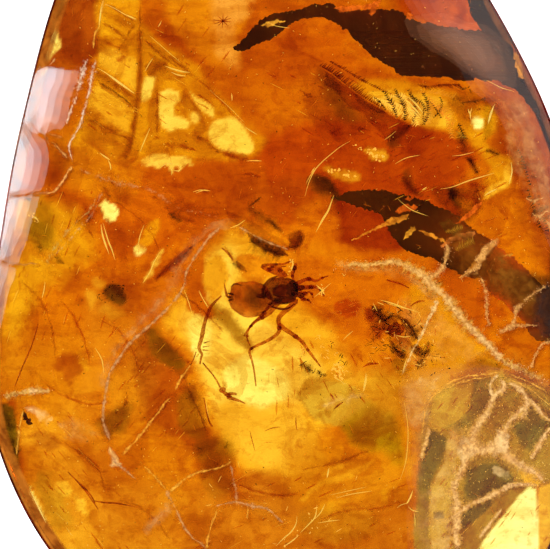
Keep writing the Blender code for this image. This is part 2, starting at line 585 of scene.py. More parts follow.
class Sheet:
    """A wavy sheet of resin under the dome, with a tint at each of its points."""

    def __init__(self, level, sway, base, seed, step=0.1):
        ticks = [np.arange(*span, step) for span in SHEET_SPANS]
        grid_x, grid_y = np.meshgrid(*ticks, indexing="ij")
        keep = share_of_outline(grid_x, grid_y) < SHEET_REACH
        self.numbers = np.full(grid_x.shape, -1)
        self.numbers[keep] = np.arange(keep.sum())
        self.places = np.stack((grid_x[keep], grid_y[keep]), axis=-1)
        height = level + sway * noise_at(self.places, 5.0, seed)
        self.points = sealed(self.places[:, 0], self.places[:, 1], height)
        self.tints = np.ones((len(self.places), 3)) * base
        self.push = np.zeros((len(self.places), 2))
        for size, share in EDGE_SWELLS:
            swells = [noise_at(self.places, size, seed + i + size) for i in (1, 20)]
            self.push += share * np.stack(swells, axis=-1)

    def stain(self, look, soft, push, outline, amount=1.0):
        """Tints the sheet inside an outline. Its edge is `soft` wide, and a crisp one keeps corners."""
        curve = np.array(outline) if soft < CRISP else smooth_curve(outline, 6, closed=True)
        low, high = curve.min(axis=0) - soft - push * 1.5, curve.max(axis=0) + soft + push * 1.5
        near = ((self.places >= low) & (self.places <= high)).all(axis=1)
        depth = far_inside(self.places[near] + push * self.push[near], curve)
        share = np.clip(depth / max(soft, 0.02) + 0.5, 0, 1)
        share = (amount * share**2 * (3 - 2 * share))[:, None]
        self.tints[near] = self.tints[near] * (1 - share) + through(look) * share

    def faces(self):
        n = self.numbers
        quads = np.stack((n[:-1, :-1], n[1:, :-1], n[1:, 1:], n[:-1, 1:]), axis=-1).reshape(-1, 4)
        return quads[(quads >= 0).all(axis=1)].tolist()


def skin_material(name, wisps):
    """Lets light through in the piece's tint. A wisp is (pattern, its settings, its dark tint)."""
    material, tree, output = new_material(name)
    tint, wispiness = tint_on(tree)
    for pattern, settings, dark in wisps:
        share = product(tree, pattern(tree, low=0.0, high=1.0, **settings), wispiness)
        tint = times(tree, tint, between(tree, share, WHITE, dark))
    glass = add_node(tree, "BsdfTransparent", {"Color": tint})
    tree.links.new(glass.outputs["BSDF"], output.inputs["Surface"])
    return material

# %% The deep skin's patches, from the largest to the smallest
DEEP_STAINS = [
    # the top: brown rim, yellow splinters, pale haze, warm middle
    ("rust", 0.6, 0.3, trace("-920,1270 176,0 -16,-320 -16,-128 -32,-40 -112,-24 -80,-68 0,220")),
    ("amber", 1.0, 0.4, trace("-720,1270 880,0 80,-480 -40,-560 -312,-128 -208,168 -240,80 -80,200"
        " 240,80 -120,320")),
    ("gold", 0.4, 0.15, trace("-760,1190 160,0 12,-256 212,-168 264,-268 0,-68 -120,-40 -168,0 -240,0"
        " -152,-40 -72,80 40,160 48,200")),
    ("flame", 0.5, 0.2, trace("-512,1270 360,0 -16,-260 -32,-140 -16,-152 -64,-24 -64,96 -96,88"
        " -64,132")),
    ("haze", 0.5, 0.25, trace("-296,1270 144,0 -16,-260 -64,-68 24,-132 -16,-68 -32,8 -24,80 -24,80"
        " -8,100"), 0.85),
    ("orange", 0.8, 0.3, trace("-360,790 200,-40 320,40 280,-128 -64,-80 -216,8 -240,-80 -120,40")),
    ("amber", 0.8, 0.3, trace("160,750 360,-160 -160,-80 -120,80 -120,88")),
    ("peat", 0.6, 0.2, trace("112,734 68,-24 108,-144 80,32 -40,-64 -108,-8 -84,120"), 0.6),
    ("red", 0.5, 0.2, trace("-120,430 160,88 200,32 200,-8 160,-8 200,-224 40,-280 -120,40 -200,60"
        " -160,-60 -200,20 -200,80")),
    ("deep_red", 0.3, 0.1, trace("120,206 128,24 120,-48 64,-80 24,-64 -96,-16 -120,24 -80,56")),
    ("peat", 0.12, 0.12, trace("64,318 48,16 48,-32 40,-56 -16,-32 -56,24 -48,32")),
    ("umber", 0.15, 0.12, trace("632,278 56,8 64,-16 8,-64 -40,-32 -56,32 -32,32")),
    ("umber", 0.15, 0.12, trace("448,342 32,16 16,-72 40,-40 -56,8 -32,40"), 0.7),
    ("umber", 0.15, 0.12, trace("392,478 48,32 48,24 -32,-48 -32,-48 -32,-8"), 0.7),
    ("deep_red", 0.4, 0.15, trace("448,534 120,-8 80,-136 -48,-112 -112,32 -56,120"), 0.6),
    ("orange", 0.5, 0.2, trace("40,210 136,20 24,-160 -120,-88 -80,88")),
    ("rust", 0.8, 0.2, trace("760,670 200,40 360,-880 -284,0 -176,440 -60,240")),
    ("red", 0.5, 0.15, trace("376,1270 464,0 0,-320 -120,-80 -120,40 -120,48 -56,40")),
    ("amber", 0.4, 0.1, trace("-80,750 200,120 160,-80 160,-80 160,-16 48,-32 -128,-16 -80,8 -80,-8"
        " -80,24 -80,48 -80,48 -120,-72")),
    ("orange", 0.6, 0.2, trace("704,350 156,0 100,-240 76,-240 -196,112 -160,108")),
    ("gold", 0.3, 0.08, trace("712,582 96,16 16,-88 -48,-48 64,-48 56,-24 -16,-88 -48,-40 -64,-24 0,64"
        " 40,56 -48,56 -56,64")),
    ("yellow", 0.08, 0.12, trace("768,246 8,28 40,16 40,20 12,56 20,24 4,-80 -28,-32 -48,-20 -32,-24")),
    # the left: mottled orange, with a yellower patch under the brown rim
    ("flame", 1.6, 0.5, trace("-1240,-490 320,200 120,-200 -40,-360 120,-280 280,-80 0,-240 -640,0")),
    ("amber", 1.2, 0.4, trace("-1080,430 280,0 360,-80 200,-120 -200,-160 -320,-80 -280,80")),
    ("gold", 0.8, 0.3, trace("-1080,230 240,-60 64,-140 -104,-100 -120,-60 -104,-200 -56,80")),
    ("rust", 0.6, 0.25, trace("-744,-114 104,16 24,-88 -72,-48 -80,24"), 0.6),
    ("flame", 0.8, 0.3, trace("-720,-482 360,224 48,-280 -48,-192 -72,-240 -200,120 -80,160")),
    ("peat", 0.4, 0.15, trace("-768,-642 112,56 8,-80 -80,-48"), 0.7),
    # the yellow pool behind and below the spider
    ("flame", 0.8, 0.25, trace("-376,-18 104,144 160,16 152,-72 180,-64 156,-128 80,-168 16,-168"
        " -64,-120 -160,-56 -56,-96 -48,-136 -104,-64 -152,24 -104,72 -88,120 -72,128 -112,176 -72,136"
        " 104,136")),
    ("orange", 0.6, 0.2, trace("40,-18 160,0 184,-112 40,-120 -96,-96 -168,56 -96,120")),
    ("yellow", 0.8, 0.25, trace("-344,-18 80,120 96,0 56,-120 136,-192 136,-104 80,-144 -80,-120 0,-184"
        " -72,-112 -144,-8 -128,56 -96,120 -64,152 -32,120 -80,112 -40,104 96,104")),
    ("lemon", 0.7, 0.2, trace("-336,-18 80,72 48,-72 -24,-152 120,-88 136,-80 104,-120 -16,-104 -64,-64"
        " 32,-128 -48,-72 -120,-24 -96,72 -64,112 -64,112 -64,144 -48,152 48,120")),
    ("bright", 0.35, 0.12, trace("-264,-442 80,48 88,-24 80,-48 8,-88 -80,-48 -112,16 -48,48")),
    ("yellow", 0.4, 0.15, trace("-272,-586 160,-8 152,16 96,-40 24,-72 -40,-72 -56,-56 -64,-56 -112,-16"
        " -88,64 -56,112"), 0.8),
    ("bright", 0.25, 0.1, trace("-392,-242 56,88 24,-136 -24,-128 -48,48 -24,112"), 0.7),
    ("orange", 0.2, 0.12, trace("-416,-18 40,40 36,-24 -4,-108 16,-60 32,-52 -24,-28 -64,32 -32,48")),
    ("olive", 0.25, 0.12, trace("-316,-186 36,-8 48,-48 56,-72 24,-64 -48,24 -56,56 -48,56"), 0.8),
    ("yellow", 0.1, 0.12, trace("-336,-18 32,24 40,-8 16,-48 -8,-64 -24,-48 -32,-8 -24,40 -12,56")),
    ("straw", 0.12, 0.12, trace("28,-554 40,68 92,8 124,-56 44,-44 -64,-60 -36,-40 -108,24 -52,44")),
    ("gold", 0.5, 0.2, trace("264,-474 128,-16 96,-64 16,-136 -56,24 -88,88 -72,24")),
    # dark olive hollows round the pool
    ("rust", 0.5, 0.2, trace("-616,-314 96,8 56,-104 80,-128 48,-128 48,-72 -72,-48 -96,56 -104,80"
        " -56,120"), 0.85),
    ("rust", 0.12, 0.12, trace("-560,-274 48,-48 60,-56 52,-52 0,-44 -80,-32 -120,0 -24,96 24,80"), 0.7),
    ("moss", 0.12, 0.12, trace("-560,-282 52,-52 60,-60 32,-40 -48,-16 -72,40 -40,64"), 0.6),
    ("moss", 0.3, 0.12, trace("-432,-538 40,8 32,-80 32,-88 -48,-32 -56,40 -24,88"), 0.5),
    ("moss", 0.4, 0.15, trace("-376,-738 128,24 16,-104 -104,-32"), 0.4),
    ("flame", 0.4, 0.15, trace("120,-690 104,0 104,-88 72,-40 40,-32 -120,-16 -120,16 -64,56"), 0.8),
    ("lime", 0.4, 0.12, trace("212,-678 72,72 48,28 60,-28 92,-88 8,-40 -20,-88 -48,-12 -60,48 -44,0"
        " -72,44")),
    ("olive", 0.35, 0.15, trace("240,-678 44,48 48,36 44,-20 92,-80 12,-40 -16,-72 -40,-16 -60,52 -44,0"
        " -56,36")),
    ("lime", 0.2, 0.12, trace("348,-726 52,20 52,-24 -4,-56 -40,-8 -48,32"), 0.8),
    ("rust", 0.15, 0.12, trace("164,-810 76,8 96,-24 -32,-32 -104,-24 -40,32")),
    ("amber", 0.6, 0.25, trace("-336,-970 136,104 240,-40 448,0 0,-624 -888,0")),
    ("yellow", 0.1, 0.15, trace("44,-958 44,44 60,36 72,12 112,44 -28,-32 -104,-44 -72,-16 -68,-56"),
        0.9),
    ("yellow", 0.1, 0.12, trace("112,-866 72,32 64,8 -48,-24 -56,-24"), 0.8),
    ("gold", 0.12, 0.12, trace("40,-1026 120,48 88,8 -48,-32 -96,-40"), 0.8),
    ("rust", 0.12, 0.12, trace("36,-1002 36,16 44,-16 -4,-48 -56,-8")),
    ("olive", 0.5, 0.2, trace("40,-1026 200,24 112,-40 -48,-88 -200,-8"), 0.4),
    ("peat", 0.4, 0.15, trace("-360,-834 96,8 32,-88 -64,-48 -56,32"), 0.4),
    ("flame", 0.15, 0.1, trace("-216,2 88,4 56,-48 -40,-56 -72,8"), 0.85),
    ("yellow", 0.5, 0.2, trace("288,-498 152,24 48,-112 -56,-40 -96,40"), 0.7),
    ("gold", 0.1, 0.12, trace("352,-946 56,32 32,24 -8,-48 -56,-40")),
    ("rust", 0.5, 0.2, trace("-176,-866 176,-24 8,-160 -120,-16 -64,96"), 0.6),
    # the right: tawny round the fractures, dark windows low down
    ("gold", 0.6, 0.2, trace("456,-138 104,32 160,-184 120,-168 -256,-56 -144,56 32,168")),
    ("amber", 0.5, 0.2, trace("576,-18 152,-40 112,-112 48,-208 -128,48 -120,160")),
    ("umber", 0.35, 0.1, trace("872,-50 268,-80 0,-220 -180,76 -72,88"), 0.8),
    ("orange", 0.4, 0.15, trace("800,-310 104,68 236,-120 0,-176 -180,72")),
    ("gold", 0.5, 0.2, trace("440,-490 160,64 160,48 80,-80 -120,-48 -160,-64 -24,-160 -40,-120 -24,0"
        " -40,160")),
    ("amber", 0.4, 0.2, trace("408,-914 56,16 32,-72 -8,-196 0,-364 -112,0 0,480")),
    ("ochre", 0.4, 0.15, trace("520,-730 40,160 160,88 160,16 156,-56 204,-48 0,-400 -240,56 -160,-136"
        " -80,-160 -40,-320 -168,0 -8,480")),
    ("straw", 0.06, 0.02, trace("724,-482 0,-120 -32,-32 -36,-32 -56,-28 -36,-4 -8,32 8,72 24,56"
        " 68,44"), 0.9),
    ("slate", 0.1, 0.12, trace("736,-482 72,8 0,-80 8,-32 -48,-32 -32,-32 -24,-40 -56,0 4,24 36,28"
        " 32,36"), 0.7),
    ("slate", 0.08, 0.03, trace("932,-618 32,24 36,-16 48,-40 0,-40 -44,-40 -28,-48 -48,24 -32,72"
        " 24,28")),
    ("slate", 0.15, 0.12, trace("556,-706 32,8 36,-24 -4,-48 -20,-56 -32,-56 -12,-88 4,-196 0,-364 -64,0"
        " 0,364 8,196 16,160")),
    ("ochre", 0.1, 0.12, trace("696,-834 32,40 40,16 72,-16 64,-24 56,-40 48,-32 -8,-24 -80,0 -80,-24"
        " -80,-40 -56,-16 -40,-24 8,88")),
    ("slate", 0.08, 0.12, trace("708,-858 52,32 64,8 48,-24 32,-48 -16,-28 -48,-16 -64,-28 -64,-16"
        " -24,48")),
    ("moss", 0.08, 0.12, trace("768,-890 48,24 56,-16 -8,-40 -56,-16 -40,0"), 0.6),
    ("slate", 0.08, 0.12, trace("684,-1026 44,32 80,24 -8,-40 -56,-48 -48,-32 -20,24")),
    ("ochre", 0.1, 0.12, trace("680,-1106 72,40 72,80 32,16 -16,-80 -48,-64 -72,-96 -48,-160")),
    ("straw", 0.06, 0.12, trace("628,-710 44,-4 16,-56 -16,-80 -24,-64 -8,-96 16,-200 8,-320 -104,0"
        " 4,364 0,132 -8,84 16,56 44,68"), 0.9),
    ("moss", 0.05, 0.02, trace("576,-1018 36,0 0,-28 -36,0")),
    ("yellow", 0.08, 0.12, trace("924,-850 52,0 36,-40 -12,-24 -64,8")),
    ("bright", 0.08, 0.03, trace("720,-1210 84,116 48,60 64,84 40,36 32,-12 4,-124 8,-160 0,-320"
        " -400,0")),
    ("yellow", 0.08, 0.03, trace("992,-914 56,8 192,-64 0,-560 -240,0 0,320 -8,160")),
    # bright facets and gleaming spots with crisp edges
    ("gold", 0.1, 0.04, trace("-576,910 24,-16 40,-44 52,-48 48,-24 20,-36 -16,-20 -32,8 -52,32 -40,40"
        " -36,44")),
    ("yellow", 0.08, 0.02, trace("-764,830 36,4 40,-4 32,-24 36,-8 20,-24 0,-24 -16,-16 4,-44 -8,-28"
        " -32,28 -36,32 -48,32 -28,16"), 0.7),
    ("yellow", 0.1, 0.02, trace("-772,690 36,-16 48,-20 36,-28 24,-36 -8,-36 -12,-56 -32,0 -48,32 -44,40"
        " -32,28 -8,32 16,40"), 0.5),
    ("lemon", 0.1, 0.02, trace("-580,722 40,0 -4,-32 -16,-52 -28,-16 -12,24 8,44")),
    ("lemon", 0.1, 0.03, trace("-520,662 32,12 44,-12 4,-32 -24,-24 4,-36 32,-12 32,-20 -16,-20 -40,-4"
        " -24,-12 -36,20 -12,48")),
    ("lemon", 0.1, 0.03, trace("-404,662 36,-24 48,-24 16,-24 0,-36 -24,16 -24,16 -28,36")),
    ("lemon", 0.12, 0.03, trace("-396,578 24,0 12,-24 -20,-16 -16,16")),
    ("lemon", 0.12, 0.04, trace("-312,538 36,16 56,4 32,-28 36,-60 8,-32 -24,-24 -60,8 -48,8 -36,32"
        " -16,36")),
    ("gold", 0.2, 0.1, trace("-608,422 48,24 72,8 72,-16 40,-32 -16,-24 -48,-8 -80,0 -72,8"), 0.5),
    ("lemon", 0.06, 0.02, trace("-596,390 36,20 48,8 32,-12 40,0 44,-12 8,-28 -24,8 -16,-12 -8,-20"
        " -12,20 -16,0 -8,-32 -12,32 -20,12 -16,-16 -16,0 -16,12 -16,-8 -20,16"), 0.8),
    ("bright", 0.06, 0.08, trace("-764,206 20,20 20,-12 24,-8 16,-24 -12,-28 -28,-12 -24,16")),
    ("bright", 0.1, 0.12, trace("-624,42 24,16 20,-24 -20,-24 -16,8")),
    ("yellow", 0.12, 0.15, trace("296,430 32,12 32,-16 24,-28 -24,-16 -32,12"), 0.8),
    ("yellow", 0.2, 0.15, trace("136,362 48,0 56,-12 32,-20 -24,-20 -48,4 -48,16"), 0.7),
    ("orange", 0.12, 0.12, trace("276,-78 84,4 56,-32 -8,-48 -64,-8 -56,16")),
    ("olive", 0.1, 0.12, trace("416,-410 56,0 8,-48 -32,-16 -32,24"), 0.7),
    ("bright", 0.12, 0.12, trace("728,554 24,4 20,-24 -8,-24 -28,-4 -12,20")),
    ("gold", 0.3, 0.04, trace("248,694 56,16 72,0 80,-8 80,-16 88,-16 64,-32 16,-80 0,-80 -40,0 -40,28"
        " -40,8 -48,8 -64,24 -56,28 -56,32 -64,40"), 0.85),
    ("yellow", 0.15, 0.04, trace("312,654 48,12 56,4 64,-12 80,-12 64,-24 24,-48 -24,-52 -48,4 -56,4"
        " -56,24 -48,24 -56,32"), 0.85),
    ("lemon", 0.12, 0.04, trace("360,630 56,16 64,-8 56,-24 32,-48 -32,-28 -64,20 -56,28"), 0.7),
    ("bright", 0.1, 0.12, trace("-396,-350 24,4 16,-32 -12,-44 -24,12")),
    ("lemon", 0.06, 0.02, trace("-592,-110 12,36 20,24 8,32 20,24 16,28 12,-4 -16,-32 0,-24 -20,-12"
        " -8,-32 -24,-20"), 0.8),
    ("gold", 0.15, 0.1, trace("-568,142 40,16 -8,-56 -32,-56 -24,-16 -16,24 16,40"), 0.7),
    ("lemon", 0.15, 0.12, trace("-988,902 28,8 32,-16 8,-56 -32,-32 -32,-16")),
    ("umber", 0.12, 0.05, trace("-744,-130 12,16 20,8 24,-4 20,-16 12,-24 4,-24 -12,-16 -24,0 -28,12"
        " -20,20"), 0.9),
    ("yellow", 0.25, 0.12, trace("-816,-138 16,12 20,-12 8,-32 -20,-44 -20,20"), 0.5),
    ("yellow", 0.25, 0.12, trace("-784,-90 28,4 20,-24 -20,-20 -24,12"), 0.5),
    ("yellow", 0.3, 0.15, trace("-756,-182 44,-12 36,-32 -36,-24 -36,24"), 0.4),
    ("moss", 0.5, 0.2, trace("-1048,134 64,16 48,-48 -8,-64 -56,-8 -40,40"), 0.5),
    ("rust", 0.25, 0.3, trace("-928,-418 32,36 44,-12 28,-48 -32,-24 -24,-40 -32,24 -32,40"), 0.8),
    ("gold", 0.15, 0.2, trace("-856,-370 32,-8 24,-48 -16,-24 -24,40"), 0.7),
    ("red", 0.1, 0.12, trace("172,-178 44,20 52,-8 16,-36 -28,-36 -48,-4 -32,24")),
    ("rust", 0.1, 0.12, trace("-540,-82 44,40 56,56 48,36 8,-12 -32,-48 -56,-40 -48,-36")),
    ("amber", 0.3, 0.1, trace("-1144,-602 48,32 16,-160 8,-176 -32,0 -40,136")),
    ("moss", 0.15, 0.12, trace("-1176,-610 72,8 16,-88 0,-128 -24,-80 -40,48")),
    ("rust", 0.1, 0.12, trace("-1080,-914 32,-4 20,-64 -36,0")),
    ("lemon", 0.05, 0.12, trace("-1048,-922 16,-8 32,-64 40,-80 -16,-16 -36,72 -32,64")),
    ("yellow", 0.1, 0.12, trace("-932,-890 44,0 24,-40 -16,-28 -40,12")),
    ("yellow", 0.1, 0.12, trace("-864,-950 40,-20 16,-68 -40,20")),
    ("olive", 0.4, 0.3, trace("-1000,-850 64,-40 40,-80 24,-80 -32,-48 -48,48 -32,80"), 0.6),
    ("rust", 0.12, 0.12, trace("-1028,-698 60,4 48,-36 -16,-40 -56,8"), 0.7),
    # the lower half is paler all over, and a few places are warmer
    ("yellow", 1.6, 0.3, trace("-1000,-850 640,-64 400,64 440,-40 0,-640 -1400,0"), 0.3),
    ("yellow", 1.2, 0.3, trace("-800,-170 240,-120 0,-280 -160,-240 -200,-40 -160,120 80,80 160,160"),
        0.22),
    ("straw", 1.0, 0.3, trace("160,-450 320,-24 360,64 196,-80 0,-160 -516,0 -280,0"), 0.35),
    ("gold", 0.8, 0.3, trace("-920,470 120,40 200,-80 -40,-160 -160,-40 -120,120"), 0.4),
    ("rust", 0.8, 0.3, trace("-200,270 240,56 80,-96 -80,-64 -160,8 -96,32"), 0.6),
    ("olive", 0.3, 0.2, trace("772,2 68,20 80,-64 84,-72 -20,-56 -72,-32 -72,40 -48,56"), 0.3),
    ("gold", 1.0, 0.3, trace("24,-722 136,8 168,-56 128,-48 0,-112 -176,-72 -200,0 -88,112"), 0.5),
    ("gold", 0.5, 0.3, trace("392,686 88,-8 32,-88 -40,-32 -64,40"), 0.5),
]

deep = Sheet(level=1.3, sway=0.5, base=through("orange"), seed=3)
for look, soft, push, outline, *amount in DEEP_STAINS:
    deep.stain(look, soft, push, outline, *amount)

# %% The deep skin
CLOUDS = {"scale": 240.0, "detail": 6.0, "swirl": 0.8, "window": (0.4, 0.66)}
CURLS = {"scale": 800.0, "detail": 8.0, "swirl": 0.5, "stretch": (1.0, 0.5, 1.0), "window": (0.42, 0.62)}
FLECKS = {"scale": 1900.0, "detail": 6.0, "swirl": 0.6, "stretch": (0.4, 1.0, 1.0), "window": (0.5, 0.6)}
SPLINTERS = {"scale": 420.0, "stretch": (1.0, 0.45, 1.0), "bend": 0.0008}
CHIPS = {"scale": 1300.0, "stretch": (0.5, 1.0, 1.0), "bend": 0.0004}
DEEP_WISPS = [
    (grain, CLOUDS, (0.78, 0.62, 0.36)),
    (grain, CURLS, (0.84, 0.7, 0.44)),
    (grain, FLECKS, (0.84, 0.74, 0.5)),
    (facets, SPLINTERS, (0.8, 0.66, 0.5)),
    (facets, CHIPS, (0.88, 0.76, 0.6)),
]
piece = new_piece("flow_skin_deep", deep.points, deep.faces(), skin_material("deep_skin", DEEP_WISPS))
wispiness = np.clip(1.15 - 0.9 * deep.tints[:, 1], 0.3, 1.0)
paint(piece.data, np.column_stack((deep.tints, wispiness)))
settle(piece)

# %% [markdown]
# One more skin lies higher up. It has no stains of its own. Its wisps are larger and crisper, as where
# one flow ended on another, and they break up the light over the whole drop.

# %% The middle skin
BILLOWS = {"scale": 420.0, "detail": 5.0, "swirl": 1.2, "window": (0.53, 0.58)}
STREAMS = {"scale": 620.0, "detail": 6.0, "swirl": 0.8, "stretch": (0.4, 1.0, 1.0), "window": (0.5, 0.6)}
MOTES = {"scale": 2600.0, "detail": 4.0, "window": (0.56, 0.66)}
MIDDLE_WISPS = [
    (grain, BILLOWS, (0.86, 0.72, 0.55)),
    (grain, STREAMS, (0.9, 0.78, 0.6)),
    (grain, MOTES, (0.86, 0.74, 0.6)),
]
middle = Sheet(level=3.0, sway=0.4, base=WHITE, seed=8, step=0.3)
middle_skin = skin_material("middle_skin", MIDDLE_WISPS)
piece = new_piece("flow_skin_middle", middle.points, middle.faces(), middle_skin)
paint(piece.data, middle.tints)
settle(piece)

# %% [markdown]
# Everything smaller is drawn in the same way: outlines for flakes, paths with widths for
# fractures, and tubes for hairs and legs. A `Batch` gathers many such shapes into one mesh. They
# are drawn as they should be seen from above, with their true heights, and the batch moves each
# point to where the resin shows it there, and keeps it a little under the polish.

# %% Lines and outlines
SKIN_DEPTH = 0.06
SIDE_GAP = 0.008
LOWEST = 0.15
SETTLE_PASSES = 3
RAGGED_SWELLS = ((0.5, 0.8), (0.17, 0.8), (0.07, 0.9))


def hull_share(height):
    """How far out the drop's side reaches at each height under the girdle."""
    drop_off = np.clip(1 - height / GIRDLE_HEIGHT, 0, 1)
    return BASE_SHARE + (1 - BASE_SHARE) * np.sqrt(1 - drop_off**2)


def ragged(outline, size, seed, step=0.1):
    """The closed outline with its sides cut into short steps that wander by that size."""
    corners = np.array(outline, float)
    places = []
    for start, end in zip(corners, np.roll(corners, -1, axis=0)):
        count = max(1, int(math.dist(start, end) / step))
        places += [start + (end - start) * i / count for i in range(count)]
    places = np.array(places)
    for swell, share in RAGGED_SWELLS:
        shift = [noise_at(places, swell, seed + i) for i in (0, 50)]
        places = places + size * share * np.stack(shift, axis=-1)
    return places


def reach_along(points):
    """How far along a line each of its points lies, in millimetres."""
    return np.concatenate(([0], np.cumsum(np.linalg.norm(np.diff(points, axis=0), axis=1))))


def drawn_finely(path, step, least):
    """A smooth line through a path's corners: about a point every `step`, and that many at least."""
    count = reach_along(path)[-1] / max(len(path) - 1, 1) / step
    return smooth_curve(path, max(least, int(count)))


def to_the_left(directions):
    """Directions in the plane, turned a quarter to the left."""
    return np.stack((-directions[:, 1], directions[:, 0]), axis=-1)


def runs_left(ring):
    """Whether a closed outline runs anticlockwise, seen from above."""
    return sum(a[0] * b[1] - b[0] * a[1] for a, b in zip(ring, np.roll(ring, -1, axis=0))) > 0


def triangles_in(ring):
    """The triangles that fill an outline, as corner numbers."""
    return tessellate_polygon([[Vector((*p, 0.0)) for p in ring]])

# %% A batch of small shapes
class Batch:
    """Small shapes gathered into one piece, with a tint and a cover at each point."""

    def __init__(self):
        self.points, self.faces, self.tints = [], [], []
        self.count = 0

    def add(self, points, faces, tint, cover=1.0):
        """Takes in a shape. The tint and the cover are one for all its points, or one for each."""
        points = np.asarray(points, float)
        tints = np.ones((len(points), 4))
        tints[:, :3] = tint
        tints[:, 3] = cover
        self.faces += [tuple(self.count + i for i in face) for face in faces]
        self.points.append(points)
        self.tints.append(tints)
        self.count += len(points)

    def plate(self, outline, height, tint, thick, slope):
        """A flat flake with that outline and thickness. Slope is its rise per millimetre in X and Y."""
        ring = np.array(outline, float)
        level = height + (ring - ring.mean(axis=0)) @ np.array(slope)
        count = len(ring)
        top = []
        for a, b, c in triangles_in(ring):
            turn = np.cross(ring[b] - ring[a], ring[c] - ring[a])
            top.append((a, b, c) if turn > 0 else (a, c, b))
        faces = top + [(count + a, count + c, count + b) for a, b, c in top]
        left = runs_left(ring)
        for i in range(count):
            j = (i + 1) % count
            side = (i, count + i, count + j, j)
            faces.append(side if left else side[::-1])
        upper = np.column_stack((ring, level + thick / 2))
        lower = np.column_stack((ring, level - thick / 2))
        self.add(np.concatenate((upper, lower)), faces, tint)

    def pane(self, outline, height, tint, soft, cover=1.0, slope=(0.0, 0.0)):
        """A pane with a soft edge: its cover falls to nothing over that width."""
        ring = np.array(outline, float)
        along = unit(np.roll(ring, -1, axis=0) - np.roll(ring, 1, axis=0))
        outward = to_the_left(along) * (-1 if runs_left(ring) else 1)
        inner, outer = ring - outward * soft / 2, ring + outward * soft / 2
        flat = np.concatenate((inner, outer))
        level = height + (flat - ring.mean(axis=0)) @ np.array(slope)
        count = len(ring)
        faces = [tuple(t) for t in triangles_in(inner)]
        faces += ladder(2, count, closed=True)
        self.add(np.column_stack((flat, level)), faces, tint, np.repeat((cover, 0.0), count))

    def ribbon(self, path, widths, height, tint, cover=1.0, rough=0.0, seed=0, step=0.07):
        """A band along a path. Widths and heights are given at its ends or corners and run evenly."""
        path = np.array(path, float)
        fine = drawn_finely(path, step, 2)
        way = reach_along(fine)
        way /= way[-1]
        width, level = evenly(widths, way), evenly(height, way)
        across = to_the_left(unit(np.gradient(fine, axis=0)))
        patchy = 1.0
        if rough:
            fine = fine + across * (rough * noise_at(fine, 0.3, seed))[:, None]
            swell = 0.9 * noise_at(fine, 0.22, seed + 7)
            width = width * np.clip(1 + swell + 0.8 * noise_at(fine, 0.09, seed + 9), 0.15, 2.2)
            patchy = np.clip(1 + 0.7 * noise_at(fine, 0.35, seed + 5), 0.45, 1.2)
        rows = []
        for share, lift in ((-0.5, 0.0), (0.0, 0.02), (0.5, 0.0)):
            places = fine + across * (width * share)[:, None]
            rows.append(np.column_stack((places, level + lift)))
        ends = np.clip(np.minimum(way, 1 - way) * 12, 0.15, 1)
        bare = np.zeros(len(fine))
        covers = np.concatenate((bare, np.clip(cover * ends * patchy, 0, 1), bare))
        self.add(np.concatenate(rows), ladder(3, len(fine), closed=False), tint, covers)

    def tube(self, path, radii, tint, sides=7, step=0.12):
        """A round rod along a path of (x, y, height), closed at both ends."""
        path = np.array(path, float)
        fine = drawn_finely(path, step, 1)
        way = reach_along(fine)
        radius = evenly(radii, way / way[-1])
        along = unit(np.gradient(fine, axis=0))
        side = unit(np.cross(along, (0.13, 0.09, 1.0)))
        up = np.cross(side, along)
        angles = np.arange(sides) * 2 * math.pi / sides
        rings = [f + r * (np.outer(np.cos(angles), s) + np.outer(np.sin(angles), u))
                 for f, r, s, u in zip(fine, radius, side, up)]
        ends = [fine[:1] - along[:1] * radius[0], fine[-1:] + along[-1:] * radius[-1]]
        points = np.concatenate(rings + ends)
        faces = [(a, d, c, b) for a, b, c, d in ladder(len(fine), sides, closed=True)]
        tail, head = len(points) - 2, len(points) - 1
        last = (len(fine) - 1) * sides
        for i in range(sides):
            j = (i + 1) % sides
            faces += [(tail, i, j), (head, last + j, last + i)]
        self.add(points, faces, tint)

    def blob(self, centre, radii, tint, turn=0.0, rough=0.0, seed=0, steps=(16, 10)):
        """A closed rounded lump. Turn is its angle in degrees, and `rough` makes it uneven."""
        around, down = steps
        points = [(0.0, 0.0, 1.0)]
        for row in range(1, down):
            polar = math.pi * row / down
            out, level = math.sin(polar), math.cos(polar)
            for i in range(around):
                angle = 2 * math.pi * i / around
                points.append((out * math.cos(angle), out * math.sin(angle), level))
        points.append((0.0, 0.0, -1.0))
        points = np.array(points)
        if rough:
            shift = Vector((seed, 0, 0))
            dents = np.array([noise.noise(Vector(p) * 1.7 + shift) for p in points])
            points = points * (1 + rough * dents)[:, None]
        cos, sin = math.cos(math.radians(turn)), math.sin(math.radians(turn))
        points = (points * radii) @ np.array(((cos, sin, 0), (-sin, cos, 0), (0, 0, 1))) + centre
        faces = [(0, 1 + i, 1 + (i + 1) % around) for i in range(around)]
        for a, b, c, d in ladder(down - 1, around, closed=True):
            faces.append((1 + a, 1 + d, 1 + c, 1 + b))
        last = 1 + (down - 2) * around
        faces += [(len(points) - 1, last + (i + 1) % around, last + i) for i in range(around)]
        self.add(points, faces, tint)
        return points

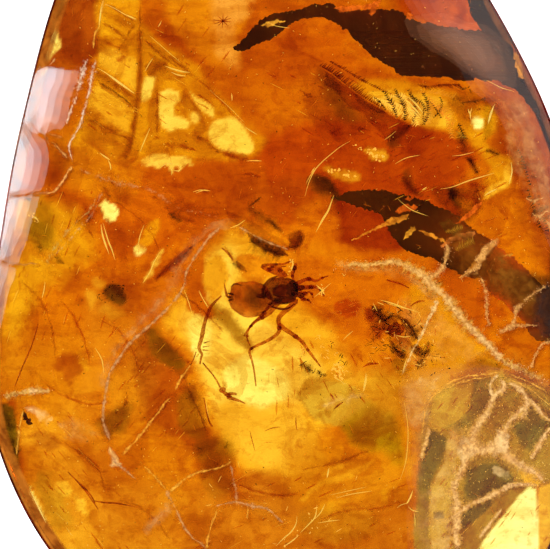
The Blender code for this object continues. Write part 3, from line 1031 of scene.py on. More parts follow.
    def make(self, name, material, smooth=True):
        """The piece: every point moved to where the resin shows it, under the polish."""
        drawn = np.concatenate(self.points)
        height = np.maximum(drawn[:, 2], LOWEST)
        for _ in range(SETTLE_PASSES):
            true = sealed(drawn[:, 0], drawn[:, 1], height)
            height = np.minimum(height, dome_height(true[:, 0], true[:, 1]) - SKIN_DEPTH)
        true = sealed(drawn[:, 0], drawn[:, 1], height)
        share = share_of_outline(true[:, 0], true[:, 1])
        pull = np.minimum(1, (hull_share(true[:, 2]) - SIDE_GAP) / np.maximum(share, 0.01))
        true[:, :2] = CROWN + (true[:, :2] - CROWN) * pull[:, None]
        piece = new_piece(name, true, self.faces, material, smooth)
        paint(piece.data, np.concatenate(self.tints))
        return piece

# %% [markdown]
# Dark flakes are thin scraps of bark and dried resin, the largest dark things in the drop. Each
# one is a thin closed plate with a ragged outline, at its own height and a little tilted. The
# material is a dark brown with paler mottling, a dull gloss, and fine grain along it, and it is
# thin enough for a little of the table's light to pass.

# %% Bark flakes
SPECK_GLOW = 2.5
BARK_RELIEF = 0.00002
BARK_THINNESS = 0.45
THIN_DARK = (0.16, 0.1, 0.2)
THIN_PALE = (0.34, 0.24, 0.3)


def bark_material(name, dark, pale, scale, stretch, gloss=0.45):
    """Brown scraps: two browns mottled together, with a dull uneven gloss and a little see-through."""
    material, tree, output = new_material(name)
    light, _ = tint_on(tree)
    mottle = grain(tree, scale, 0.0, 1.0, 8.0, stretch, 0.4, (0.42, 0.7))
    speck = grain(tree, scale * 6, 0.0, 1.0, 4.0, EVEN, 0.0, (0.66, 0.72))
    colour = between(tree, speck, between(tree, mottle, dark, pale), tuple(SPECK_GLOW * c for c in pale))
    ridges = grain(tree, scale * 3, 0.0, 1.0, 6.0, stretch)
    relief = add_node(tree, "Bump", {"Strength": 0.4, "Distance": BARK_RELIEF, "Height": ridges})
    scrap = add_node(tree, "BsdfPrincipled", {
        "Base Color": times(tree, colour, light),
        "Roughness": grain(tree, scale * 2, gloss - 0.1, gloss + 0.2),
        "IOR": 1.6, "Normal": relief.outputs["Normal"],
    })
    thin = between(tree, mottle, THIN_DARK, THIN_PALE)
    stain = add_node(tree, "BsdfTransparent", {"Color": times(tree, thin, light)})
    surface = mixed(tree, BARK_THINNESS, scrap.outputs[0], stain.outputs[0])
    tree.links.new(surface, output.inputs["Surface"])
    return material


BARK_FLAKES = {
    "bark_flake_upper": (4.4, (0.02, -0.03), trace("-228,838 24,20 28,28 24,24 24,28 28,24 36,16 48,4"
        " 48,8 40,12 40,12 44,8 20,-12 16,-16 40,-4 80,4 48,0 48,-4 40,-8 32,-24 48,-16 64,-12 64,-12"
        " 64,-8 64,-8 48,-24 40,-48 20,-64 12,-40 -8,-44 -32,4 -40,24 -40,-4 -40,8 -48,-12 -40,8 -32,12"
        " -56,0 -48,4 -56,0 -24,4 -24,20 -32,20 -32,20 -32,24 -24,20 -16,24 -32,24 -24,28 -64,40 -48,12"
        " -32,-4 -40,-8 -40,-20 -24,-20 -32,-24 -32,-20 -40,-12 -32,-20 -32,-12 -28,4")),
    "bark_flake_middle": (4.0, (0.03, -0.05), trace("160,242 48,12 56,12 96,4 64,-12 56,-12 48,-12"
        " 48,-20 48,-24 48,-24 40,-32 40,-32 48,-28 40,-36 56,-40 12,-12 48,-40 32,-40 24,-24 68,-8"
        " 0,-216 -60,8 -36,0 -20,20 -20,44 -28,36 -20,16 -24,16 -24,28 -20,12 -36,32 -16,40 -40,8 -56,16"
        " -40,24 -32,16 -32,24 -56,8 -40,16 -40,16 -24,40 -24,32 -8,24 -24,40 -40,16 -40,16 -40,8"
        " -32,16")),
    "bark_flake_rim": (4.1, (0.0, 0.0), trace("696,1150 112,0 24,-120 28,-80 20,-56 8,-48 8,-56 20,-64"
        " 36,-56 40,-64 16,-56 -32,32 -40,56 -40,40 -24,72 -40,72 -48,56 -40,56 -28,56")),
}
BARK_TONES = {
    # place along X, the share of light kept
    "bark_flake_upper": ((-2.4, 1.0), (3.0, 1.2), (7.5, 1.0)),
    "bark_flake_middle": (
        (1.6, 2.0), (3.5, 1.6), (5.0, 1.1), (6.2, 1.5), (7.4, 3.2),
        (8.4, 4.6), (9.4, 4.8), (9.9, 2.2), (10.3, 1.5),
    ),
    "bark_flake_rim": ((6.8, 1.0), (9.0, 0.9)),
}
BARK_KINDS = {
    # material, dark brown, pale brown, patches per metre, stretch
    "bark_flake_upper": ("bark_umber", (0.3, 0.1, 0.045), (0.5, 0.18, 0.06), 900.0, (1.0, 0.4, 1.0)),
    "bark_flake_middle": ("bark_olive", (0.2, 0.1, 0.03), (0.34, 0.19, 0.05), 520.0, (1.0, 0.6, 1.0)),
    "bark_flake_rim": ("bark_rim", (0.22, 0.08, 0.04), (0.4, 0.15, 0.05), 700.0, (0.4, 1.0, 1.0)),
}
for name, (height, slope, outline) in BARK_FLAKES.items():
    flake = Batch()
    edge = ragged(outline, 0.07, 11, 0.04)
    flake.plate(edge, height, WHITE, 0.05, slope)
    spots, tones = zip(*BARK_TONES[name])
    flake.tints[0][:, :3] = np.interp(flake.points[0][:, 0], spots, tones)[:, None]
    settle(flake.make(name, bark_material(*BARK_KINDS[name]), smooth=False))

# %% A dark shard at the left rim
RIM_SHARD = trace("-1068,-606 16,-16 24,-44 -20,-4 -16,20")
shards = Batch()
shards.plate(ragged(RIM_SHARD, 0.09, 20, 0.04), 4.0, (2.2, 2.0, 1.6), 0.04, (0.1, 0.05))
shard_bark = bark_material("bark_shard", (0.14, 0.06, 0.02), (0.36, 0.18, 0.05), 1500.0, (1.0, 0.6, 1.0))
settle(shards.make("bark_shards", shard_bark, smooth=False))

# %% [markdown]
# Fractures run through old amber as thin frosted films that catch pale light, and they are what
# one sees first after the bark. Each is a band along a listed path, with its width and depth
# given along it. The band is covered by frost in the middle and fades at its edges. Frost scatters
# the table's light from every side, so it looks evenly lit: its film has a soft shine of its own,
# which stands for that light, and lets the rest pass.

# %% Frost on fractures
TORN_EDGE = 0.25
FROST_BRIGHT = (1.3, 1.3, 1.3)
FROST_DULL = (0.62, 0.46, 0.34)


def frost_glow_material(name, scale, holes, cover_low=0.45, strength=1.0, tear=0.3, core=0.35):
    """A frosted film with a painted glow for the light it scatters: clear where its cover is 0, with torn
    edges and fine holes in the frost.
    """
    material, tree, output = new_material(name)
    tint, alpha = tint_on(tree)
    patches = grain(tree, scale, cover_low, 1.0, 6.0, EVEN, 0.3, holes)
    frays = grain(tree, scale * 1.6, -tear, tear, 5.0, EVEN, 0.5)
    torn = add_node(tree, "Math", {0: alpha, 1: frays}, operation="ADD").outputs[0]
    edge = add_node(tree, "MapRange", {"Value": torn, "From Min": core, "From Max": core + TORN_EDGE})
    cover = product(tree, product(tree, edge.outputs["Result"], patches), alpha, clamp=True)
    clots = grain(tree, scale * 1.5, 0.0, 1.0, 5.0, EVEN, 0.4, (0.4, 0.62))
    colour = times(tree, tint, between(tree, clots, FROST_BRIGHT, FROST_DULL))
    shine = add_node(tree, "Emission", {"Color": colour, "Strength": strength})
    clear = add_node(tree, "BsdfTransparent")
    tree.links.new(mixed(tree, cover, clear.outputs[0], shine.outputs[0]), output.inputs["Surface"])
    return material


def film_material(name, scale):
    """A clear film that takes its piece's tint where its cover is 1, and none where it is 0."""
    material, tree, output = new_material(name)
    tint, alpha = tint_on(tree)
    cover = product(tree, alpha, grain(tree, scale, 0.5, 1.0, 6.0, EVEN, 0.4, (0.36, 0.56)))
    glass = add_node(tree, "BsdfTransparent", {"Color": between(tree, cover, WHITE, tint)})
    tree.links.new(glass.outputs[0], output.inputs["Surface"])
    return material

# %% The fractures
SHADOW_BROWN = (0.5, 0.3, 0.2)
PEACH = (0.84, 0.42, 0.12)
LILAC = (0.66, 0.33, 0.14)
GOLDEN = (0.95, 0.45, 0.05)
CREAM = (0.98, 0.66, 0.3)
TAN = (0.62, 0.36, 0.09)
EARTH = (0.42, 0.13, 0.04)
MILK = (0.95, 0.74, 0.56)
GRIT_GOLD = (0.74, 0.38, 0.06)
GRIT_CREAM = (0.92, 0.55, 0.2)
GRITTY_BELOW = -4.74
FRACTURES = [
    # tint, widths in hundredths of a millimetre, heights, cover, roughness, path
    # the long pale arc from the middle to the right edge
    (PEACH, (4, 8, 8, 11, 24, 22, 18, 17, 15, 13, 10, 7), (5.6, 6.2), 0.85, 0.05, trace("172,-38 48,8"
        " 40,4 52,-4 60,8 48,4 52,-20 60,-36 32,-36 56,-48 56,-72 60,-64 76,-76 48,-48 80,-36 96,-52")),
    (PEACH, (34, 24, 12, 7), (6.0, 6.2), 0.85, 0.06, trace("572,-114 -8,24 44,48 20,40 4,28 -8,32")),
    (CREAM, (22, 11, 9, 9, 8, 6), (6.0, 5.7), 0.85, 0.03, trace("600,-154 -20,-44 -24,-44 -36,-80"
        " -32,-56 -24,-56 -20,-40")),
    (PEACH, (6, 12, 9, 6), (5.6, 5.6), 0.8, 0.04, trace("760,-74 16,-40 12,-40 0,-64 8,-64")),
    (PEACH, (14, 12, 10, 5), (5.4, 5.0), 0.85, 0.05, trace("820,-302 36,12 32,16 12,32 8,36 40,40 40,32"
        " 48,28")),
    (PEACH, (12, 8, 5), (5.2, 4.8), 0.8, 0.05, trace("888,-266 40,-8 32,4 32,-4")),
    (PEACH, (4, 8, 9), (5.0, 4.6), 0.8, 0.04, trace("960,-446 28,68 20,28 40,20")),
    (PEACH, (16, 10, 14, 8), (5.6, 5.4), 0.8, 0.06, trace("736,-18 28,24 20,32 24,20 20,20")),
    (PEACH, (6, 11, 5), (5.6, 5.6), 0.7, 0.05, trace("680,-86 32,28 28,12 28,16")),
    # the long lilac arc left of the spider, and its branches
    (LILAC, (10, 8, 7, 9, 8, 7, 9, 8, 10), (6.8, 6.0), 0.8, 0.01, trace("-200,146 -56,-12 -40,-28"
        " -36,-36 -56,-80 -28,-52 -8,-48 -40,-64 -92,-92 -84,-76 -56,-80 -28,-48 -16,-92 -8,-84 24,-76"
        " 16,-68")),
    (LILAC, (7, 6, 5), (6.9, 7.0), 0.7, 0.01, trace("-212,126 36,-20 36,-20 60,-28 80,-28")),
    (LILAC, (6, 14, 12, 8, 6), (6.8, 6.6), 0.22, 0.05, trace("-872,366 56,-24 72,-28 88,-20 96,-24"
        " 64,-40 48,-32 108,-24 84,-24")),
    (TAN, (22, 18, 12, 7, 5, 4), (6.0, 6.2), 0.5, 0.05, trace("-992,-58 20,40 28,48 36,52 68,72 44,40"
        " 28,76")),
    (LILAC, (4, 4, 5), (6.0, 6.2), 0.3, 0.02, trace("-992,-18 72,48 64,72 64,72 32,72 16,48")),
    # white stripes along the left reflection
    (MILK, (14, 22, 14, 8, 5), (5.4, 5.6), 0.7, 0.03, trace("-800,802 -16,-20 -12,-40 -12,-48 -16,-52"
        " -24,-60 -20,-64")),
    (MILK, (6, 14, 8, 6, 5, 4, 4, 4), (5.6, 5.2), 0.65, 0.03, trace("-768,810 -16,-44 -12,-56 -16,-80"
        " -12,-48 -16,-52 -24,-44 -20,-36 8,-44 8,-36")),
    (PEACH, (5, 4, 4, 3), (5.4, 4.9), 0.85, 0.05, trace("-868,370 -28,-44 -24,-32 -24,-28 -40,-16")),
    (PEACH, (3, 4, 4), (5.0, 5.3), 0.5, 0.05, trace("-968,470 24,-16 32,-32 24,-32")),
    (GOLDEN, (6, 5, 5, 4), (5.2, 5.0), 0.8, 0.02, trace("-748,1150 0,-120 -8,-56 -8,-48 -16,-32 -8,-72")),
    # brown cracks that part the left reflection
    (EARTH, (4, 6, 5, 4, 3), (4.3, 4.7, 5.0), 0.95, 0.06, trace("-1060,566 20,-12 20,-16 24,-28 24,-36"
        " 16,-36")),
    (EARTH, (4, 8, 5, 6, 4, 3), (4.2, 4.6, 5.0), 0.95, 0.06, trace("-1124,254 24,-12 28,0 40,8 40,8"
        " 32,8")),
    (EARTH, (7, 3), (4.3, 4.3), 0.95, 0.03, trace("-1104,246 4,-36")),
    (EARTH, (3, 9, 4, 3), (4.2, 4.5, 4.8), 0.95, 0.06, trace("-1168,-18 36,4 36,-12 96,0")),
    (EARTH, (5, 4, 4), (4.6, 5.0), 0.8, 0.06, trace("-980,506 20,-12 24,-4 24,-16")),
    (CREAM, (6, 4, 3), (4.4, 4.6), 0.8, 0.05, trace("-1000,726 24,24 40,48")),
    # gold fractures low on the left
    (GOLDEN, (8, 7, 8, 6), (6.2, 6.0), 0.75, 0.04, trace("-460,-546 -36,-32 -64,-84 -56,-68 -64,-68")),
    (GOLDEN, (8, 6, 5), (6.3, 6.6), 0.7, 0.03, trace("-464,-538 16,32 24,40 32,40")),
    (LILAC, (14, 6, 5, 4), (6.0, 5.8), 0.8, 0.03, trace("-716,-790 20,-28 40,-36 44,-36")),
    (GOLDEN, (12, 7, 6, 7, 5, 5), (6.2, 6.4), 0.75, 0.03, trace("-488,-954 16,24 32,28 32,24 48,20 56,12"
        " 56,20 20,24")),
    (LILAC, (16, 7, 6, 5), (6.1, 5.4), 0.75, 0.04, trace("-508,-926 24,-28 20,-40 20,-44 28,-52 40,-40"
        " 48,-40")),
    (GOLDEN, (5, 4, 4), (6.0, 6.2), 0.6, 0.03, trace("-608,-810 40,-40 40,-40 40,-48")),
    (LILAC, (5, 6, 14, 6, 5), (6.2, 6.2), 0.75, 0.03, trace("-312,-1002 48,16 52,8 44,-12 68,-12 44,-32"
        " 40,-40")),
    (LILAC, (5, 8, 12), (6.3, 6.2), 0.75, 0.03, trace("-236,-826 8,-56 12,-56 0,-40")),
    (GOLDEN, (6, 6, 6), (6.1, 5.6), 0.7, 0.03, trace("-288,-1002 -20,-52 -16,-52 -12,-64")),
    (GOLDEN, (4, 3), (6.2, 6.2), 0.65, 0.02, trace("-168,-990 0,-28 -4,-28")),
    (GOLDEN, (5, 4, 4), (4.8, 5.0), 0.75, 0.02, trace("-1064,-606 -16,-60 -8,-64 -8,-64")),
    (PEACH, (6, 12, 6), (5.0, 5.2), 0.55, 0.02, trace("-1152,-562 56,16 72,12 72,0")),
    # veins of the lower right
    (PEACH, (7, 13, 12, 17, 16, 17, 23, 26), (5.8, 5.5), 0.85, 0.07, trace("836,-474 16,-32 -4,-24"
        " -32,-28 -16,-36 -16,-36 -36,-44 -16,-40 -12,-40")),
    (CREAM, (6, 9, 7), (5.8, 5.8), 0.8, 0.04, trace("836,-466 -28,-28 -8,-36 16,-28")),
    (PEACH, (29, 17, 14, 14, 19, 12, 12), (5.5, 5.2), 0.85, 0.08, trace("720,-754 -24,-64 -20,-56"
        " -20,-52 8,-44 4,-48 -4,-160")),
    (PEACH, (26, 35, 17, 35, 20), (5.5, 5.4), 0.8, 0.1, trace("680,-754 48,-8 56,-8 56,12 28,28")),
    (PEACH, (7, 10, 13, 10), (5.6, 5.2), 0.85, 0.05, trace("864,-498 32,-12 28,-20 24,-36 -4,-40"
        " -24,-48")),
    (PEACH, (9, 10, 13, 20, 29), (5.5, 5.3), 0.85, 0.1, trace("944,-594 -32,-32 -32,-24 -20,-40 -24,-24"
        " 28,-40")),
    (PEACH, (23, 20, 17, 16, 7), (5.3, 4.9), 0.85, 0.08, trace("856,-754 16,-40 32,-24 40,-24 40,-20"
        " 36,-40")),
    (PEACH, (6, 9, 7, 6), (5.2, 4.8), 0.8, 0.05, trace("948,-566 28,-20 24,-32 48,-40")),
    (PEACH, (6, 9, 10, 7), (4.9, 5.0), 0.8, 0.06, trace("1048,-678 -24,-28 -28,-48 -36,-56")),
    (PEACH, (6, 10, 12, 9, 6), (5.5, 5.2), 0.85, 0.06, trace("628,-1062 40,36 56,40 36,12 80,40 56,24"
        " 104,0")),
    (GOLDEN, (4, 5, 4, 5, 4), (5.8, 5.6), 0.85, 0.05, trace("864,-458 -48,-4 -56,-8 -56,-8 -60,-20"
        " -44,-28 -56,-40")),
    (GOLDEN, (3, 4, 3, 4, 3), (5.8, 5.6), 0.7, 0.06, trace("852,-474 -60,-4 -56,-8 -64,-16 -48,-20"
        " -40,-24 -32,-40 -16,-56 -4,-48 8,-24")),
    (GOLDEN, (3, 4, 3), (5.5, 4.9), 0.75, 0.05, trace("864,-482 56,-24 64,-40 64,-56")),
    (GOLDEN, (3, 3, 3), (5.5, 4.9), 0.7, 0.04, trace("872,-466 64,-24 64,-32 48,-32")),
    (PEACH, (9, 9, 6, 4), (5.6, 5.4), 0.75, 0.08, trace("560,-682 -12,-40 -12,-36 -16,-52")),
    (GOLDEN, (3, 3, 2), (5.5, 5.4), 0.6, 0.04, trace("984,-858 8,-32 8,-24")),
    (PEACH, (4, 4), (5.2, 5.0), 0.6, 0.05, trace("752,-1130 48,64 52,64")),
]
fractures = Batch()
fracture_painted_shadows = Batch()
for number, (tint, widths, height, cover, rough, path) in enumerate(FRACTURES):
    widths, height, seed = np.array(widths) / 100, np.array(height), 5 * number
    spread = 2.3 if tint == PEACH else 1.8
    bands = [
        # width, height, tint, cover, roughness, seed
        (widths * spread + 0.05, height, tint, cover + 0.1, rough, seed),
        (widths * 3.6 + 0.12, height - 0.1, tint, 0.42, rough * 1.5, seed + 2),
    ]
    if tint in (PEACH, CREAM) and min(y for x, y in path) < GRITTY_BELOW:
        bands += [
            (widths * 4.2 + 0.1, height - 0.05, GRIT_GOLD, 1.0, rough * 1.2, seed + 3),
            (widths * 2.4 + 0.08, height + 0.08, GRIT_CREAM, 0.9, rough * 0.8, seed + 4),
        ]
    for band in bands:
        fractures.ribbon(path, *band)
    # a painted shadow under each fracture: a wider brown film, a little deeper, offset down and to the
    # right
    lower = np.array(path) + (0.06, -0.08)
    shadow_cover = 0.7 if tint == PEACH else 0.25
    fracture_painted_shadows.ribbon(lower, widths * 3.2 + 0.08, height - 0.3, SHADOW_BROWN, shadow_cover, rough, seed)
# the fractures' frost glows by itself: painted light
settle(fractures.make("fractures", frost_glow_material("fracture_frost", 5200.0, (0.35, 0.5), 0.6)))
settle(fracture_painted_shadows.make("fracture_painted_shadows", film_material("shadow_film", 1500.0)))

# %% [markdown]
# Beside some fractures a wider veil of frost hangs in the resin, as breath does on glass. A veil is
# a pane with a soft edge and little cover, so that the colours behind it only turn paler. Its frost
# glows by itself like the fractures': a painted glow for the light it scatters.

# %% Veils of frost
VEILS = [
    # tint, height, softness, cover, outline
    (LILAC, 5.6, 0.5, 0.28, trace("-236,142 -68,-24 -72,-88 -56,-88 -24,-80 -64,-64 -80,-80 -72,-72"
        " -48,-80 -24,-96 -24,24 24,96 56,88 88,88 80,88 48,104 64,96 80,80")),
    (PEACH, 4.6, 0.4, 0.45, trace("-928,-666 64,16 72,-24 24,-32 -48,-32 -72,16")),
    (LILAC, 4.8, 0.4, 0.5, trace("-488,-970 -32,-40 -40,-40 -16,-48 32,16 40,48 32,32")),
    (PEACH, 5.4, 0.35, 0.5, trace("184,-18 96,-16 144,0 96,-56 64,-80 -48,32 -96,64 -112,16 -104,0")),
    (CREAM, 5.2, 0.3, 0.3, trace("456,-506 64,24 80,8 -16,-56 -24,-56 -8,-80 -56,-16 -40,32")),
    (CREAM, 5.0, 0.1, 0.5, trace("804,-846 36,12 36,-32 -8,-20 -36,12 -24,8")),
    (CREAM, 4.7, 0.1, 0.3, trace("572,-894 44,68 12,96 44,-8 -8,-152 -16,-160 -8,-160 -72,0 -8,160"
        " -8,120")),
    (PEACH, 5.2, 0.15, 0.6, trace("632,-698 40,32 24,-24 32,-24 56,-32 32,16 24,40 32,-24 0,-48 -32,-24"
        " -48,-8 -48,8 -32,-16 -32,24")),
    (PEACH, 4.8, 0.4, 0.3, trace("440,-170 120,8 88,-88 88,-80 48,-64 -104,-24 -96,-16 -96,-24 -32,80")),
    (LILAC, 4.2, 0.3, 0.3, trace("496,-690 56,24 -16,-184 24,-200 0,-160 -64,0")),
    (PEACH, 5.3, 0.1, 0.9, trace("684,-82 20,24 28,20 20,28 16,44 28,24 36,24 -12,-32 -28,-36 -20,-32"
        " -24,-44 -28,-12")),
    (CREAM, 5.0, 0.15, 0.7, trace("-728,-826 16,36 -12,28 16,-16 20,-32 16,-24 -32,0")),
    (PEACH, 4.6, 0.3, 0.35, trace("840,630 80,16 80,-216 48,-160 0,-160 -64,40 -64,160 -56,160")),
    (CREAM, 4.6, 0.2, 0.8, trace("-1052,-602 36,-4 36,-16 36,-28 -20,-20 -28,20 -32,28")),
    (CREAM, 5.5, 0.12, 0.85, trace("672,-746 20,32 28,-16 24,-24 16,-24 -32,-16 -32,-24 -16,16 -16,24")),
    (CREAM, 5.5, 0.12, 0.8, trace("808,-746 16,32 28,20 24,-20 -4,-40 -12,-32 -28,8")),
    (PEACH, 5.5, 0.12, 0.6, trace("856,-778 40,-16 32,-32 -16,-16 -40,24 -24,16")),
    ((0.24, 0.07, 0.006), 5.0, 0.35, 0.75, trace("624,78 64,24 72,-24 88,-64 80,-72 72,-72 -24,-112"
        " -56,24 -56,48 -72,56 -80,40 -72,56")),
    ((0.3, 0.12, 0.012), 5.05, 0.3, 0.4, trace("832,-2 72,-40 72,-64 8,-64 -56,-16 -56,48 -40,64")),
    ((0.15, 0.06, 0.006), 5.05, 0.12, 0.7, trace("600,142 40,8 48,-24 48,-24 -24,-32 -56,16 -40,16")),
    ((0.04, 0.022, 0.018), 5.0, 0.3, 0.85, trace("984,-170 40,64 40,-24 16,-200 -60,16 -44,56")),
    (CREAM, 5.0, 0.35, 0.35, trace("120,-586 64,32 104,16 16,-24 -88,-16 -56,-24")),
]
veils = Batch()
for number, (tint, height, soft, cover, outline) in enumerate(VEILS):
    veils.pane(ragged(outline, 0.1, 60 + number, 0.1), height, tint, soft, cover)
# the veils glow by themselves: painted light
settle(veils.make("frost_veils", frost_glow_material("veil_frost", 1400.0, (0.38, 0.6), 0.2, 1.0, 0.2, 0.0)))

# %% [markdown]
# Seams are the opposite of frost: thin brown skins between two flows, seen edge on. They take light
# away. Most of them part the bright facets at the upper left and the hollows round the spider. The last
# of them are painted shadows above the spider and a few dark marks to its left.

